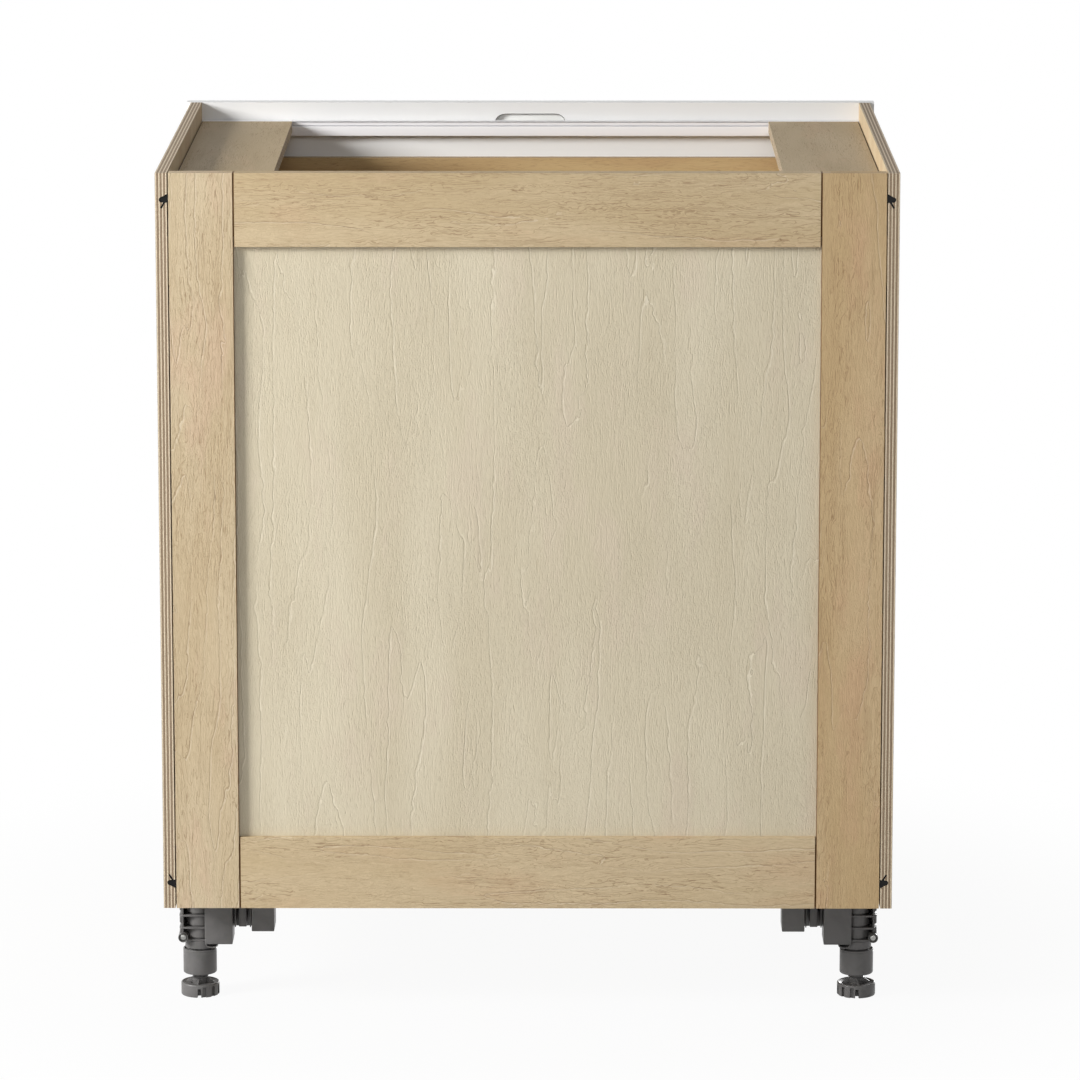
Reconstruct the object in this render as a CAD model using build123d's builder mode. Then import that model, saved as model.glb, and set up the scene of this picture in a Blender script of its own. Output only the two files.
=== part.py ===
"""Drawer base cabinet with three drawers, a frame-and-panel back and four levelling legs.

The frame is that of the finished cabinet, in millimetres. X runs to the right as seen from the
drawer fronts, Y from the fronts to the back and Z up. The origin is on the floor, under the
middle of the whole cabinet. Every piece is made where it sits, with the drawers closed.
"""

import os
from math import cos, radians, sin

from build123d import *

os.makedirs("parts", exist_ok=True)

# What is round on the pulls and legs, which repeat, has so many flat sides to stay light
round_sides = 20

# Plywood box
box_width = 749.3
box_height = 762.0
box_depth = 593.3
leg_height = 114.3
side_thickness = 12.0
shelf_thickness = 12.0
shelf_drop = 19.5
stretcher_width = 100.0

# Click joint, measured into the side panel and across the edge of the panel it holds
mouth_start = 1.1
mouth_height = 9.7
bulb_depth = 5.4
bulb_drop = 7.5
bulb_radius = 2.8
slot_angle = 60.0
slot_mouth_depth = 2.9
slot_mouth_drop = 10.6
slot_length = 6.4
slot_width = 2.0
slot_start = 1.0
strip_reach = 2.0
strip_play = 0.1
joint_clearance = 0.15
panel_side_gap = 1.0
groove_stop = 20.0
tongue_setback = 10.0
plug_setback = 0.8
plug_play = 0.1

# Frame-and-panel back
back_thickness = 17.5
stile_width = 65.0
back_rail_width = 75.0
back_side_gap = 1.2
back_panel_thickness = 6.0
back_panel_recess = 6.5
back_groove_depth = 10.0
panel_play = 1.0
groove_play = 0.2
shoulder_gap = 0.8
joint_chamfer = 0.3
biscuit_thickness = 4.0
biscuit_width = 20.0
biscuit_length = 50.0
biscuit_depth_in_side = 8.0
biscuit_play = 0.1
biscuits_per_side = 4
biscuit_end_distance = 90.0

# White channel behind the top drawer front, and its end blocks
rail_setback = 2.0
rail_depth = 10.5
rail_height = 16.3
rail_wall = 1.5
rail_edge_radius = 1.0
rail_groove_drop = 4.0
rail_groove_depth = 0.9
rail_end_play = 0.2
end_block_length = 26.0
end_block_play = 0.2
end_block_seat = 8.0

# Drawer fronts
front_thickness = 19.0
front_overhang = 4.85
front_to_box_gap = 0.5
front_gap = 3.0
front_edge_chamfer = 0.8
top_front_height = 150.0

# Flush cup pull in each front
pull_drop = 12.4
pull_width = 79.6
pull_height = 25.0
pull_corner = 12.0
pull_flange = 3.0
pull_flange_thickness = 1.5
pull_depth = 14.0
pull_wall = 2.0
pull_lip = 3.0
pull_lip_thickness = 2.0
pull_play = 0.15

# Drawer boxes
board = 12.0
box_length = 533.0
box_top_drop = 60.0
top_box_rise = 6.0
lower_box_rise = 43.0
board_tongue = 6.0
tongue_length = 6.0
bottom_thickness = 6.0
bottom_rise = 12.0
bottom_groove_depth = 6.0
fit_play = 0.15

# Telescopic slides, measured from the side panel towards the drawer box
slide_length = 500.0
slide_setback = 2.5
slide_gap = 12.7
slide_rise = 40.0
slide_height = 45.0
slide_steel = 1.2
cabinet_rail_reach = 9.6
middle_rail_start = 3.2
middle_rail_reach = 10.9
drawer_rail_start = 4.8
outer_race_height = 2.7
inner_race_height = 3.9
running_gap = 0.3
slide_hole_setback = 37.0
slide_holes = 2

# Screws
shank_radius = 1.9
screw_sides = 6
screw_head_radius = 3.6
screw_head_height = 1.6
slide_screw_length = 9.0
front_screw_length = 25.0
end_block_screw_length = 16.0
bracket_screw_length = 10.0
clamp_screw_length = 26.0
screw_play = 0.05
front_screw_inset = 70.0

# Levelling legs: distances across are measured from the leg's axis towards the cabinet's middle
leg_inset_x = 31.35
leg_inset_y = 85.0
plate_thickness = 2.5
plate_start = -18.5
plate_half_depth = 28.0
plate_screw_inset = 6.0
socket_radius = 13.5
socket_bottom = 60.0
rib_reach = 20.4
rib_half_depth = 15.0
rib_thickness = 2.0
rib_spacing = 13.2
rib_count = 4
web_reach = 15.8
web_thickness = 1.9
web_half_depth = 14.0
ear_radius = 6.0
ear_reach = 15.6
ear_rise = 6.0
ear_length = 31.0
body_start = 6.3
body_end = 35.3
body_bottom = 58.0
body_half_depth = 20.0
tab_start = 7.0
tab_end = 19.0
tab_bottom = 54.0
tab_thickness = 3.5
link_bottom = 77.0
link_half_depth = 3.0
link_core_inset = 6.0
link_core_half_depth = 9.0
pad_start = 55.3
pad_end = 78.8
pad_bottom = 72.0
pad_half_depth = 18.0
moulding_wall = 2.5
moulding_edge = 1.5
tube_radius = 17.5
tube_bottom = 23.6
tube_top = 50.0
tube_chamfer = 2.5
collar_radius = 15.8
spigot_radius = 11.0
spigot_sides = 8
spigot_top = 120.0
bore_top = 90.0
socket_play = 0.15
foot_radius = 20.0
foot_height = 13.6
foot_rim = 3.0
foot_dish = 3.0
foot_rib_drop = 1.2
foot_rib_thickness = 1.6
foot_ribs = 4
spindle_radius = 8.5
spindle_top = 62.0
flute_width = 2.6
flute_depth = 1.6
flute_bottom = 3.0
flute_first = 12.0
flute_pitch = 27.0
flute_count = 5
notch_width = 3.6
notch_depth = 4.0
notch_height = 9.5

# Places worked out from the sizes above
total_depth = front_thickness + front_to_box_gap + box_depth
front_face_y = -total_depth / 2
front_inner_y = front_face_y + front_thickness
box_front_y = front_inner_y + front_to_box_gap
box_back_y = box_front_y + box_depth
box_bottom_z = leg_height
box_top_z = box_bottom_z + box_height
inner_half_width = box_width / 2 - side_thickness
back_inner_y = box_back_y - back_thickness
shelf_under_z = box_bottom_z + shelf_drop
front_half_width = box_width / 2 + front_overhang
rail_front_y = box_front_y + rail_setback
rail_back_y = rail_front_y + rail_depth
box_half_width = inner_half_width - slide_gap
box_inner_half_width = box_half_width - board
lower_front_height = (box_height - top_front_height - 2 * front_gap) / 2
sides = {"left": -1, "right": 1}
corners = {
    "front_left": (-1, -1),
    "front_right": (1, -1),
    "rear_left": (-1, 1),
    "rear_right": (1, 1),
}
forwards = (0, -1, 0)
backwards = (0, 1, 0)
downwards = (0, 0, -1)


class Drawer:
    """Heights of one drawer: its front and the plywood box behind it."""

    def __init__(self, name, front_top, front_height, box_rise):
        self.name = name
        self.front_top = front_top
        self.front_bottom = front_top - front_height
        self.box_top = front_top - box_top_drop
        self.box_bottom = self.front_bottom + box_rise
        self.slide_z = self.box_bottom + slide_rise
        self.pull_z = front_top - pull_drop - pull_height / 2


middle_front_top = box_top_z - top_front_height - front_gap
bottom_front_top = middle_front_top - lower_front_height - front_gap
drawers = [
    Drawer("top", box_top_z, top_front_height, top_box_rise),
    Drawer("middle", middle_front_top, lower_front_height, lower_box_rise),
    Drawer("bottom", bottom_front_top, lower_front_height, lower_box_rise),
]


def keep(piece, name):
    """Label a finished piece and write it under the same name."""
    piece.part.label = name
    export_step(piece.part, f"parts/{name}.step")


def block(low, high, mode=Mode.ADD):
    """Box between two opposite corners, in the cabinet's frame."""
    centre = tuple((a + b) / 2 for a, b in zip(low, high))
    with Locations(centre):
        Box(*(abs(b - a) for a, b in zip(low, high)), mode=mode)


def facing(origin, direction):
    """Location whose Z axis points along a direction."""
    return Plane(origin=origin, z_dir=direction).location


def rod(radius, length):
    """Six-sided rod that hangs down from the origin: a screw's head, its shank or its hole."""
    with BuildPart() as bar:
        with BuildSketch():
            RegularPolygon(radius, screw_sides)
        extrude(amount=-length)
    return bar.part


def screw(length):
    """Hexagon-head screw along Z, with the underside of its head at the origin."""
    with BuildPart() as fastener:
        with Locations((0, 0, screw_head_height)):
            add(rod(screw_head_radius, screw_head_height))
        add(rod(shank_radius, length))
    return fastener.part


def drill(places, depth, radius=shank_radius):
    """Screw holes that start at the given places and run against their Z axes."""
    with Locations(*places):
        add(rod(radius + screw_play, depth), mode=Mode.SUBTRACT)


# Click joint: a bulbed groove in the side, a bulbed tongue on the panel and a plastic strip


def corner_plane(side, upper, y):
    """Plane of one click joint: its X runs into the side, its Y towards the box's middle."""
    outer_face = box_top_z - shelf_drop if upper else shelf_under_z
    into_side = Vector(side, 0, 0)
    across = Vector(0, 0, -1 if upper else 1)
    origin = (side * inner_half_width, y, outer_face)
    return Plane(origin=origin, x_dir=into_side, z_dir=into_side.cross(across))


def bulb_outline(clearance):
    """Flared mouth with a round bulb behind it, for the groove or, with play, for the tongue."""
    with BuildSketch() as outline:
        with BuildLine():
            Polyline(
                (-panel_side_gap, mouth_start + clearance),
                (bulb_depth, bulb_drop - bulb_radius + clearance),
                (bulb_depth, bulb_drop + bulb_radius - clearance),
                (-panel_side_gap, mouth_start + mouth_height - clearance),
                close=True,
            )
        make_face()
        with Locations((bulb_depth, bulb_drop)):
            Circle(bulb_radius - clearance)
    return outline.sketch


def slanted_outline(start, width):
    """Bar on the strip's slanted line, from a distance inside the mouth to the slot's end."""
    along = Vector(cos(radians(slot_angle)), sin(radians(slot_angle)))
    middle = Vector(slot_mouth_depth, slot_mouth_drop) + along * ((slot_length - start) / 2)
    with BuildSketch() as outline:
        with Locations((middle.X, middle.Y)):
            Rectangle(slot_length + start, width, rotation=slot_angle)
    return outline.sketch


def cut_click_grooves(side):
    """Cut the two grooves of one side panel, open at its back edge."""
    for upper in (True, False):
        joint = corner_plane(side, upper, box_back_y)
        for outline in (bulb_outline(0), slanted_outline(slot_start, slot_width)):
            length = box_depth - groove_stop
            extrude(joint * outline, length, dir=forwards, mode=Mode.SUBTRACT)


def add_click_tongue(side, upper, front_y, back_y):
    """Add the bulbed tongue along one edge of a panel, with the notch that its strip snaps into."""
    joint = corner_plane(side, upper, back_y)
    length = back_y - front_y
    extrude(joint * bulb_outline(joint_clearance), length, dir=forwards)
    notch = slanted_outline(strip_reach + strip_play, slot_width)
    extrude(joint * notch, length, dir=forwards, mode=Mode.SUBTRACT)


# Holes and fasteners shared by several pieces


def biscuits(side, near_x, far_x, play, mode=Mode.ADD):
    """Flat loose tongues between a side and its stile, or, with play, their slots."""
    y = box_back_y - back_thickness / 2
    pitch = (box_height - 2 * biscuit_end_distance) / (biscuits_per_side - 1)
    for i in range(biscuits_per_side):
        z = box_bottom_z + biscuit_end_distance + i * pitch
        low = (side * near_x, y - biscuit_thickness / 2 - play, z - biscuit_length / 2 - play)
        high = (side * far_x, y + biscuit_thickness / 2 + play, z + biscuit_length / 2 + play)
        block(low, high, mode)


def slide_screw_places(side, x, direction, chosen):
    """Screw places of the chosen drawers' slides on one side, at a distance from the middle."""
    first = box_front_y + slide_setback + slide_hole_setback
    pitch = (slide_length - 2 * slide_hole_setback) / (slide_holes - 1)
    places = [(first + i * pitch, drawer.slide_z) for drawer in chosen for i in range(slide_holes)]
    return [facing((side * x, y, z), (side * direction, 0, 0)) for y, z in places]


def end_block_screw_place(side, x):
    """Screw place of the front rail's end block on one side."""
    y = rail_front_y + (rail_depth - rail_wall) / 2
    z = box_top_z - shelf_drop - rail_height / 2
    return facing((side * x, y, z), (-side, 0, 0))


def front_screw_places(drawer, y):
    """Places of the two screws that hold a drawer front, with Z towards the back."""
    x = box_inner_half_width - front_screw_inset
    z = (drawer.box_bottom + drawer.box_top) / 2
    return [facing((side * x, y, z), backwards) for side in sides.values()]


def leg_axis(side, end):
    """Place of one leg's axis on the floor."""
    middle_y = (box_front_y + box_back_y) / 2
    return side * (box_width / 2 - leg_inset_x), middle_y + end * (box_depth / 2 - leg_inset_y)


def bracket_screw_places(corner, z):
    """Places of the three screws that hold one leg bracket, with Z downwards."""
    side, _ = corner
    x, y = leg_axis(*corner)
    outer = plate_start + plate_screw_inset
    reach = plate_half_depth - plate_screw_inset
    spots = [(outer, -reach), (outer, reach), ((pad_start + pad_end) / 2, 0)]
    return [facing((x - side * across, y + along, z), downwards) for across, along in spots]


def clamp_screw_place(corner):
    """Place of one bracket's clamp screw, at the end of its ear, with Z along the screw."""
    side, end = corner
    x, y = leg_axis(side, end)
    head = (x + side * ear_reach, y + end * ear_length / 2, socket_bottom + ear_rise)
    return facing(head, (0, end, 0))


# Plywood box


def side_panel(side):
    """Plywood side with its click grooves, biscuit slots and screw holes."""
    with BuildPart() as panel:
        inner_x = side * inner_half_width
        outer_x = side * box_width / 2
        block((inner_x, box_front_y, box_bottom_z), (outer_x, box_back_y, box_top_z))
        cut_click_grooves(side)
        slot_end = inner_half_width + biscuit_depth_in_side + biscuit_play
        biscuits(side, inner_half_width, slot_end, biscuit_play, Mode.SUBTRACT)
        drill(slide_screw_places(side, inner_half_width, -1, drawers), slide_screw_length)
        end_block_hole = end_block_screw_length - end_block_seat
        drill([end_block_screw_place(side, inner_half_width)], end_block_hole)
    return panel


for side_name, side in sides.items():
    keep(side_panel(side), f"side_panel_{side_name}")

with BuildPart() as bottom_panel:
    top_z = shelf_under_z + shelf_thickness
    half_width = inner_half_width - panel_side_gap
    block((-half_width, box_front_y, shelf_under_z), (half_width, back_inner_y, top_z))
    for side in sides.values():
        add_click_tongue(side, False, box_front_y + groove_stop + tongue_setback, back_inner_y)
    for corner in corners.values():
        drill(bracket_screw_places(corner, shelf_under_z), bracket_screw_length)
keep(bottom_panel, "bottom_panel")


def top_stretcher(side):
    """Board along the top of one side, from the front rail to the back frame."""
    with BuildPart() as stretcher:
        outer_x = side * (inner_half_width - panel_side_gap)
        inner_x = side * (inner_half_width - stretcher_width)
        high_z = box_top_z - shelf_drop
        block((inner_x, rail_back_y, high_z - shelf_thickness), (outer_x, back_inner_y, high_z))
        add_click_tongue(side, True, rail_back_y + groove_stop, back_inner_y)
    return stretcher


for side_name, side in sides.items():
    keep(top_stretcher(side), f"top_stretcher_{side_name}")

with BuildPart() as locking_tongues:
    bar = slanted_outline(strip_reach, slot_width - 2 * strip_play)
    for side in sides.values():
        for upper in (True, False):
            front_y = box_front_y + groove_stop + tongue_setback
            joint = corner_plane(side, upper, back_inner_y)
            extrude(joint * bar, back_inner_y - front_y, dir=forwards)
keep(locking_tongues, "locking_tongues")

with BuildPart() as groove_plugs:
    bar = slanted_outline(slot_start, slot_width - 2 * plug_play)
    for side in sides.values():
        for upper in (True, False):
            joint = corner_plane(side, upper, box_back_y - plug_setback)
            length = back_thickness - plug_setback - plug_play
            extrude(joint * bulb_outline(plug_play), length, dir=forwards)
            extrude(joint * bar, length, dir=forwards)
keep(groove_plugs, "groove_plugs")

# Frame-and-panel back

stile_outer_x = inner_half_width - back_side_gap
stile_inner_x = stile_outer_x - stile_width
panel_reach = back_groove_depth - panel_play
panel_rear_y = box_back_y - back_panel_recess
panel_front_y = panel_rear_y - back_panel_thickness
groove_rear_y = panel_rear_y + groove_play / 2
groove_front_y = panel_front_y - groove_play / 2
back_opening_low_z = box_bottom_z + back_rail_width
back_opening_high_z = box_top_z - back_rail_width


def back_stile(side):
    """Upright of the back frame, grooved for the panel and the rails' tenons."""
    with BuildPart() as stile:
        inner_x = side * stile_inner_x
        outer_x = side * stile_outer_x
        block((inner_x, back_inner_y, box_bottom_z), (outer_x, box_back_y, box_top_z))
        rear_edges = stile.edges().filter_by(Axis.Z).group_by(Axis.Y)[-1]
        chamfer(rear_edges.sort_by(lambda edge: abs(edge.center().X))[0], joint_chamfer)
        groove_x = side * (stile_inner_x + back_groove_depth)
        block(
            (inner_x, groove_front_y, box_bottom_z),
            (groove_x, groove_rear_y, box_top_z),
            Mode.SUBTRACT,
        )
        slot_end = inner_half_width + biscuit_depth_in_side - biscuit_width - biscuit_play
        biscuits(side, stile_outer_x, slot_end, biscuit_play, Mode.SUBTRACT)
    return stile


for side_name, side in sides.items():
    keep(back_stile(side), f"back_stile_{side_name}")


def back_rail(opening_z, outer_z):
    """Cross rail of the back frame, from the panel's opening to the frame's outer edge."""
    with BuildPart() as rail:
        shoulder_x = stile_inner_x - shoulder_gap
        block((-shoulder_x, back_inner_y, opening_z), (shoulder_x, box_back_y, outer_z))
        rear_face = rail.faces().sort_by(Axis.Y)[-1]
        inner_edge = rear_face.edges().filter_by(Axis.X).sort_by(
            lambda edge: abs(edge.center().Z - opening_z)
        )[0]
        chamfer(rear_face.edges().filter_by(Axis.Z) + [inner_edge], joint_chamfer)
        tenon_x = stile_inner_x + panel_reach
        block((-tenon_x, panel_front_y, opening_z), (tenon_x, panel_rear_y, outer_z))
        into_rail = back_groove_depth if outer_z > opening_z else -back_groove_depth
        block(
            (-tenon_x, groove_front_y, opening_z),
            (tenon_x, groove_rear_y, opening_z + into_rail),
            Mode.SUBTRACT,
        )
    return rail


keep(back_rail(back_opening_high_z, box_top_z), "back_rail_top")
keep(back_rail(back_opening_low_z, box_bottom_z), "back_rail_bottom")

with BuildPart() as back_panel:
    reach_x = stile_inner_x + panel_reach
    block(
        (-reach_x, panel_front_y, back_opening_low_z - panel_reach),
        (reach_x, panel_rear_y, back_opening_high_z + panel_reach),
    )
keep(back_panel, "back_panel")

with BuildPart() as back_biscuits:
    for side in sides.values():
        far_x = inner_half_width + biscuit_depth_in_side
        biscuits(side, far_x - biscuit_width, far_x, 0)
keep(back_biscuits, "back_biscuits")

# Front rail

with BuildPart() as front_rail:
    high_z = box_top_z - shelf_drop
    middle_y = (rail_front_y + rail_back_y) / 2
    with BuildSketch(Plane.YZ) as section:
        with Locations((middle_y, high_z - rail_height / 2)):
            Rectangle(rail_depth, rail_height)
        rear_corners = section.vertices().group_by(Axis.X)[-1]
        fillet(rear_corners, rail_edge_radius)
        with Locations((middle_y - rail_wall / 2, high_z - rail_height / 2)):
            Rectangle(rail_depth - rail_wall, rail_height - 2 * rail_wall, mode=Mode.SUBTRACT)
        with Locations((rail_back_y, high_z - rail_groove_drop)):
            groove_side = 2 * rail_groove_depth / sin(radians(45)) / 2
            Rectangle(groove_side, groove_side, rotation=45, mode=Mode.SUBTRACT)
    extrude(amount=inner_half_width - rail_end_play, both=True)
keep(front_rail, "front_rail")

with BuildPart() as front_rail_blocks:
    high_z = box_top_z - shelf_drop - rail_wall - end_block_play
    low_z = box_top_z - shelf_drop - rail_height + rail_wall + end_block_play
    for side in sides.values():
        block(
            (side * inner_half_width, rail_front_y + end_block_play, low_z),
            (
                side * (inner_half_width - end_block_length),
                rail_back_y - rail_wall - end_block_play,
                high_z,
            ),
        )
        mouth = [end_block_screw_place(side, inner_half_width - end_block_length)]
        drill(mouth, end_block_length)
        drill(mouth, end_block_length - end_block_seat, screw_head_radius)
keep(front_rail_blocks, "front_rail_blocks")

# Slides: three lipped channels, one inside the other

half_slide = slide_height / 2
middle_half = half_slide - slide_steel - outer_race_height
drawer_half = middle_half - slide_steel - inner_race_height


def channel(web, reach, half_height, half_mouth):
    """Lipped C section, from the outer face of its web to the edge of its lips."""
    into = slide_steel if reach > web else -slide_steel
    with BuildSketch() as section:
        with Locations(((web + reach) / 2, 0)):
            Rectangle(abs(reach - web), 2 * half_height)
            Rectangle(
                abs(reach - web) - 2 * slide_steel,
                2 * (half_height - slide_steel),
                mode=Mode.SUBTRACT,
            )
        with Locations((reach - into / 2, 0)):
            Rectangle(slide_steel, 2 * half_mouth, mode=Mode.SUBTRACT)
    return section.sketch


def slide_pair(section, drawer):
    """One member of a drawer's slides, left and right."""
    for side in sides.values():
        front_end = Plane(
            origin=(side * inner_half_width, box_front_y + slide_setback, drawer.slide_z),
            x_dir=(-side, 0, 0),
            z_dir=(0, side, 0),
        )
        extrude(front_end * section, slide_length, dir=backwards)


cabinet_section = channel(0, cabinet_rail_reach, half_slide, middle_half + running_gap)
middle_section = channel(
    middle_rail_start, middle_rail_reach, middle_half, drawer_half + running_gap
)
drawer_section = channel(slide_gap, drawer_rail_start, drawer_half, drawer_half - slide_steel)
drawer_web_x = inner_half_width - slide_gap + slide_steel

for drawer in drawers:
    with BuildPart() as cabinet_rails:
        slide_pair(cabinet_section, drawer)
        for side in sides.values():
            web_x = inner_half_width - slide_steel
            drill(slide_screw_places(side, web_x, -1, [drawer]), slide_steel)
    keep(cabinet_rails, f"cabinet_rails_{drawer.name}")

    with BuildPart() as middle_rails:
        slide_pair(middle_section, drawer)
    keep(middle_rails, f"middle_rails_{drawer.name}")

    with BuildPart() as drawer_rails:
        slide_pair(drawer_section, drawer)
        for side in sides.values():
            drill(slide_screw_places(side, drawer_web_x, 1, [drawer]), slide_steel)
    keep(drawer_rails, f"drawer_rails_{drawer.name}")

with BuildPart() as carcass_screws:
    for side in sides.values():
        web_x = inner_half_width - slide_steel
        with Locations(*slide_screw_places(side, web_x, -1, drawers)):
            add(screw(slide_screw_length))
        with Locations(end_block_screw_place(side, inner_half_width - end_block_seat)):
            add(screw(end_block_screw_length))
keep(carcass_screws, "carcass_screws")

# Drawers


def rounded(drawer, growth, depth, mode):
    """Extrude the pull's rounded outline, grown all round, into the drawer front."""
    straight_x = pull_width - 2 * pull_corner
    straight_z = pull_height - 2 * pull_corner
    corner = pull_corner + growth
    face = Plane(origin=(0, front_face_y, drawer.pull_z), x_dir=(1, 0, 0), z_dir=forwards)
    with BuildSketch(face) as outline:
        Rectangle(straight_x + 2 * corner, straight_z)
        Rectangle(straight_x, straight_z + 2 * corner)
        with GridLocations(straight_x, straight_z, 2, 2):
            RegularPolygon(corner, round_sides)
    extrude(outline.sketch, -depth, mode=mode)


def drawer_front(drawer):
    """Painted slab with eased edges, the pull's slot and the holes of its two screws."""
    with BuildPart() as front:
        block(
            (-front_half_width, front_face_y, drawer.front_bottom),
            (front_half_width, front_inner_y, drawer.front_top),
        )
        chamfer(front.faces().sort_by(Axis.Y)[0].edges(), front_edge_chamfer)
        rounded(drawer, 0, front_thickness, Mode.SUBTRACT)
        rounded(drawer, pull_flange, pull_flange_thickness, Mode.SUBTRACT)
        drill(front_screw_places(drawer, front_inner_y), front_screw_length - board + fit_play)
    return front


def drawer_pull(drawer):
    """Moulded cup with a flange at the front and a lip above for the fingers to hook behind."""
    with BuildPart() as pull:
        rounded(drawer, -pull_play, pull_depth, Mode.ADD)
        rounded(drawer, pull_flange - pull_play, pull_flange_thickness, Mode.ADD)
        rounded(drawer, -pull_play - pull_wall, pull_depth - pull_wall, Mode.SUBTRACT)
        half_lip = pull_width / 2 - pull_corner
        lip_top = drawer.pull_z + pull_height / 2 - pull_play
        block(
            (-half_lip, front_face_y, lip_top - pull_wall - pull_lip),
            (half_lip, front_face_y + pull_lip_thickness, lip_top),
        )
    return pull


def end_board(drawer, outer_y, inward):
    """Front or back board of a drawer box, with a tongue at each end and the bottom's groove."""
    inner_y = outer_y + inward * board
    low_z = drawer.box_bottom
    tongue_x = box_inner_half_width + tongue_length - fit_play
    with BuildPart() as end:
        block(
            (-box_inner_half_width, outer_y, low_z), (box_inner_half_width, inner_y, drawer.box_top)
        )
        block(
            (-tongue_x, inner_y - inward * (board_tongue - fit_play), low_z),
            (tongue_x, inner_y, drawer.box_top),
        )
        block(
            (-tongue_x, inner_y - inward * bottom_groove_depth, low_z + bottom_rise),
            (tongue_x, inner_y, low_z + bottom_rise + bottom_thickness + groove_play),
            Mode.SUBTRACT,
        )
    return end


def box_sides(drawer):
    """Left and right boards of a drawer box, with the end boards' dadoes and the bottom's groove."""
    low_z = drawer.box_bottom
    box_back = front_inner_y + box_length
    with BuildPart() as boards:
        for side in sides.values():
            inner_x = side * box_inner_half_width
            outer_x = side * box_half_width
            block((inner_x, front_inner_y, low_z), (outer_x, box_back, drawer.box_top))
            for inner_y, inward in ((front_inner_y + board, 1), (box_back - board, -1)):
                block(
                    (inner_x, inner_y - inward * board_tongue, low_z),
                    (inner_x + side * tongue_length, inner_y, drawer.box_top),
                    Mode.SUBTRACT,
                )
            groove_z = low_z + bottom_rise
            block(
                (inner_x, front_inner_y + board - bottom_groove_depth, groove_z),
                (
                    inner_x + side * bottom_groove_depth,
                    box_back - board + bottom_groove_depth,
                    groove_z + bottom_thickness + groove_play,
                ),
                Mode.SUBTRACT,
            )
            drill(slide_screw_places(side, box_half_width, 1, [drawer]), slide_screw_length)
    return boards


def box_bottom(drawer):
    """Thin bottom of a drawer box, in the grooves of its four boards."""
    reach = bottom_groove_depth - fit_play
    low_z = drawer.box_bottom + bottom_rise + groove_play / 2
    half = box_inner_half_width + reach
    with BuildPart() as bottom:
        block(
            (-half, front_inner_y + board - reach, low_z),
            (half, front_inner_y + box_length - board + reach, low_z + bottom_thickness),
        )
    return bottom


def drawer_screws(drawer):
    """Screws of one drawer: two through the box into its front, and its slide members'."""
    with BuildPart() as screws:
        with Locations(*front_screw_places(drawer, front_inner_y + board)):
            add(screw(front_screw_length))
        for side in sides.values():
            with Locations(*slide_screw_places(side, drawer_web_x, 1, [drawer])):
                add(screw(slide_screw_length))
    return screws


for drawer in drawers:
    keep(drawer_front(drawer), f"drawer_front_{drawer.name}")
    keep(drawer_pull(drawer), f"drawer_pull_{drawer.name}")
    box_front = end_board(drawer, front_inner_y, 1)
    with box_front:
        drill(front_screw_places(drawer, front_inner_y + board), board)
    keep(box_front, f"box_front_{drawer.name}")
    keep(end_board(drawer, front_inner_y + box_length, -1), f"box_back_{drawer.name}")
    keep(box_sides(drawer), f"box_sides_{drawer.name}")
    keep(box_bottom(drawer), f"box_bottom_{drawer.name}")
    keep(drawer_screws(drawer), f"drawer_screws_{drawer.name}")

# Levelling legs

plate_under_z = shelf_under_z - plate_thickness


def post(corner, radius, low_z, high_z, mode=Mode.ADD, side_count=round_sides):
    """Upright round post on one leg's axis, or its bore."""
    with BuildSketch(Plane.XY.offset(low_z)) as outline:
        with Locations(leg_axis(*corner)):
            RegularPolygon(radius, side_count)
    extrude(outline.sketch, high_z - low_z, mode=mode)


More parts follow.
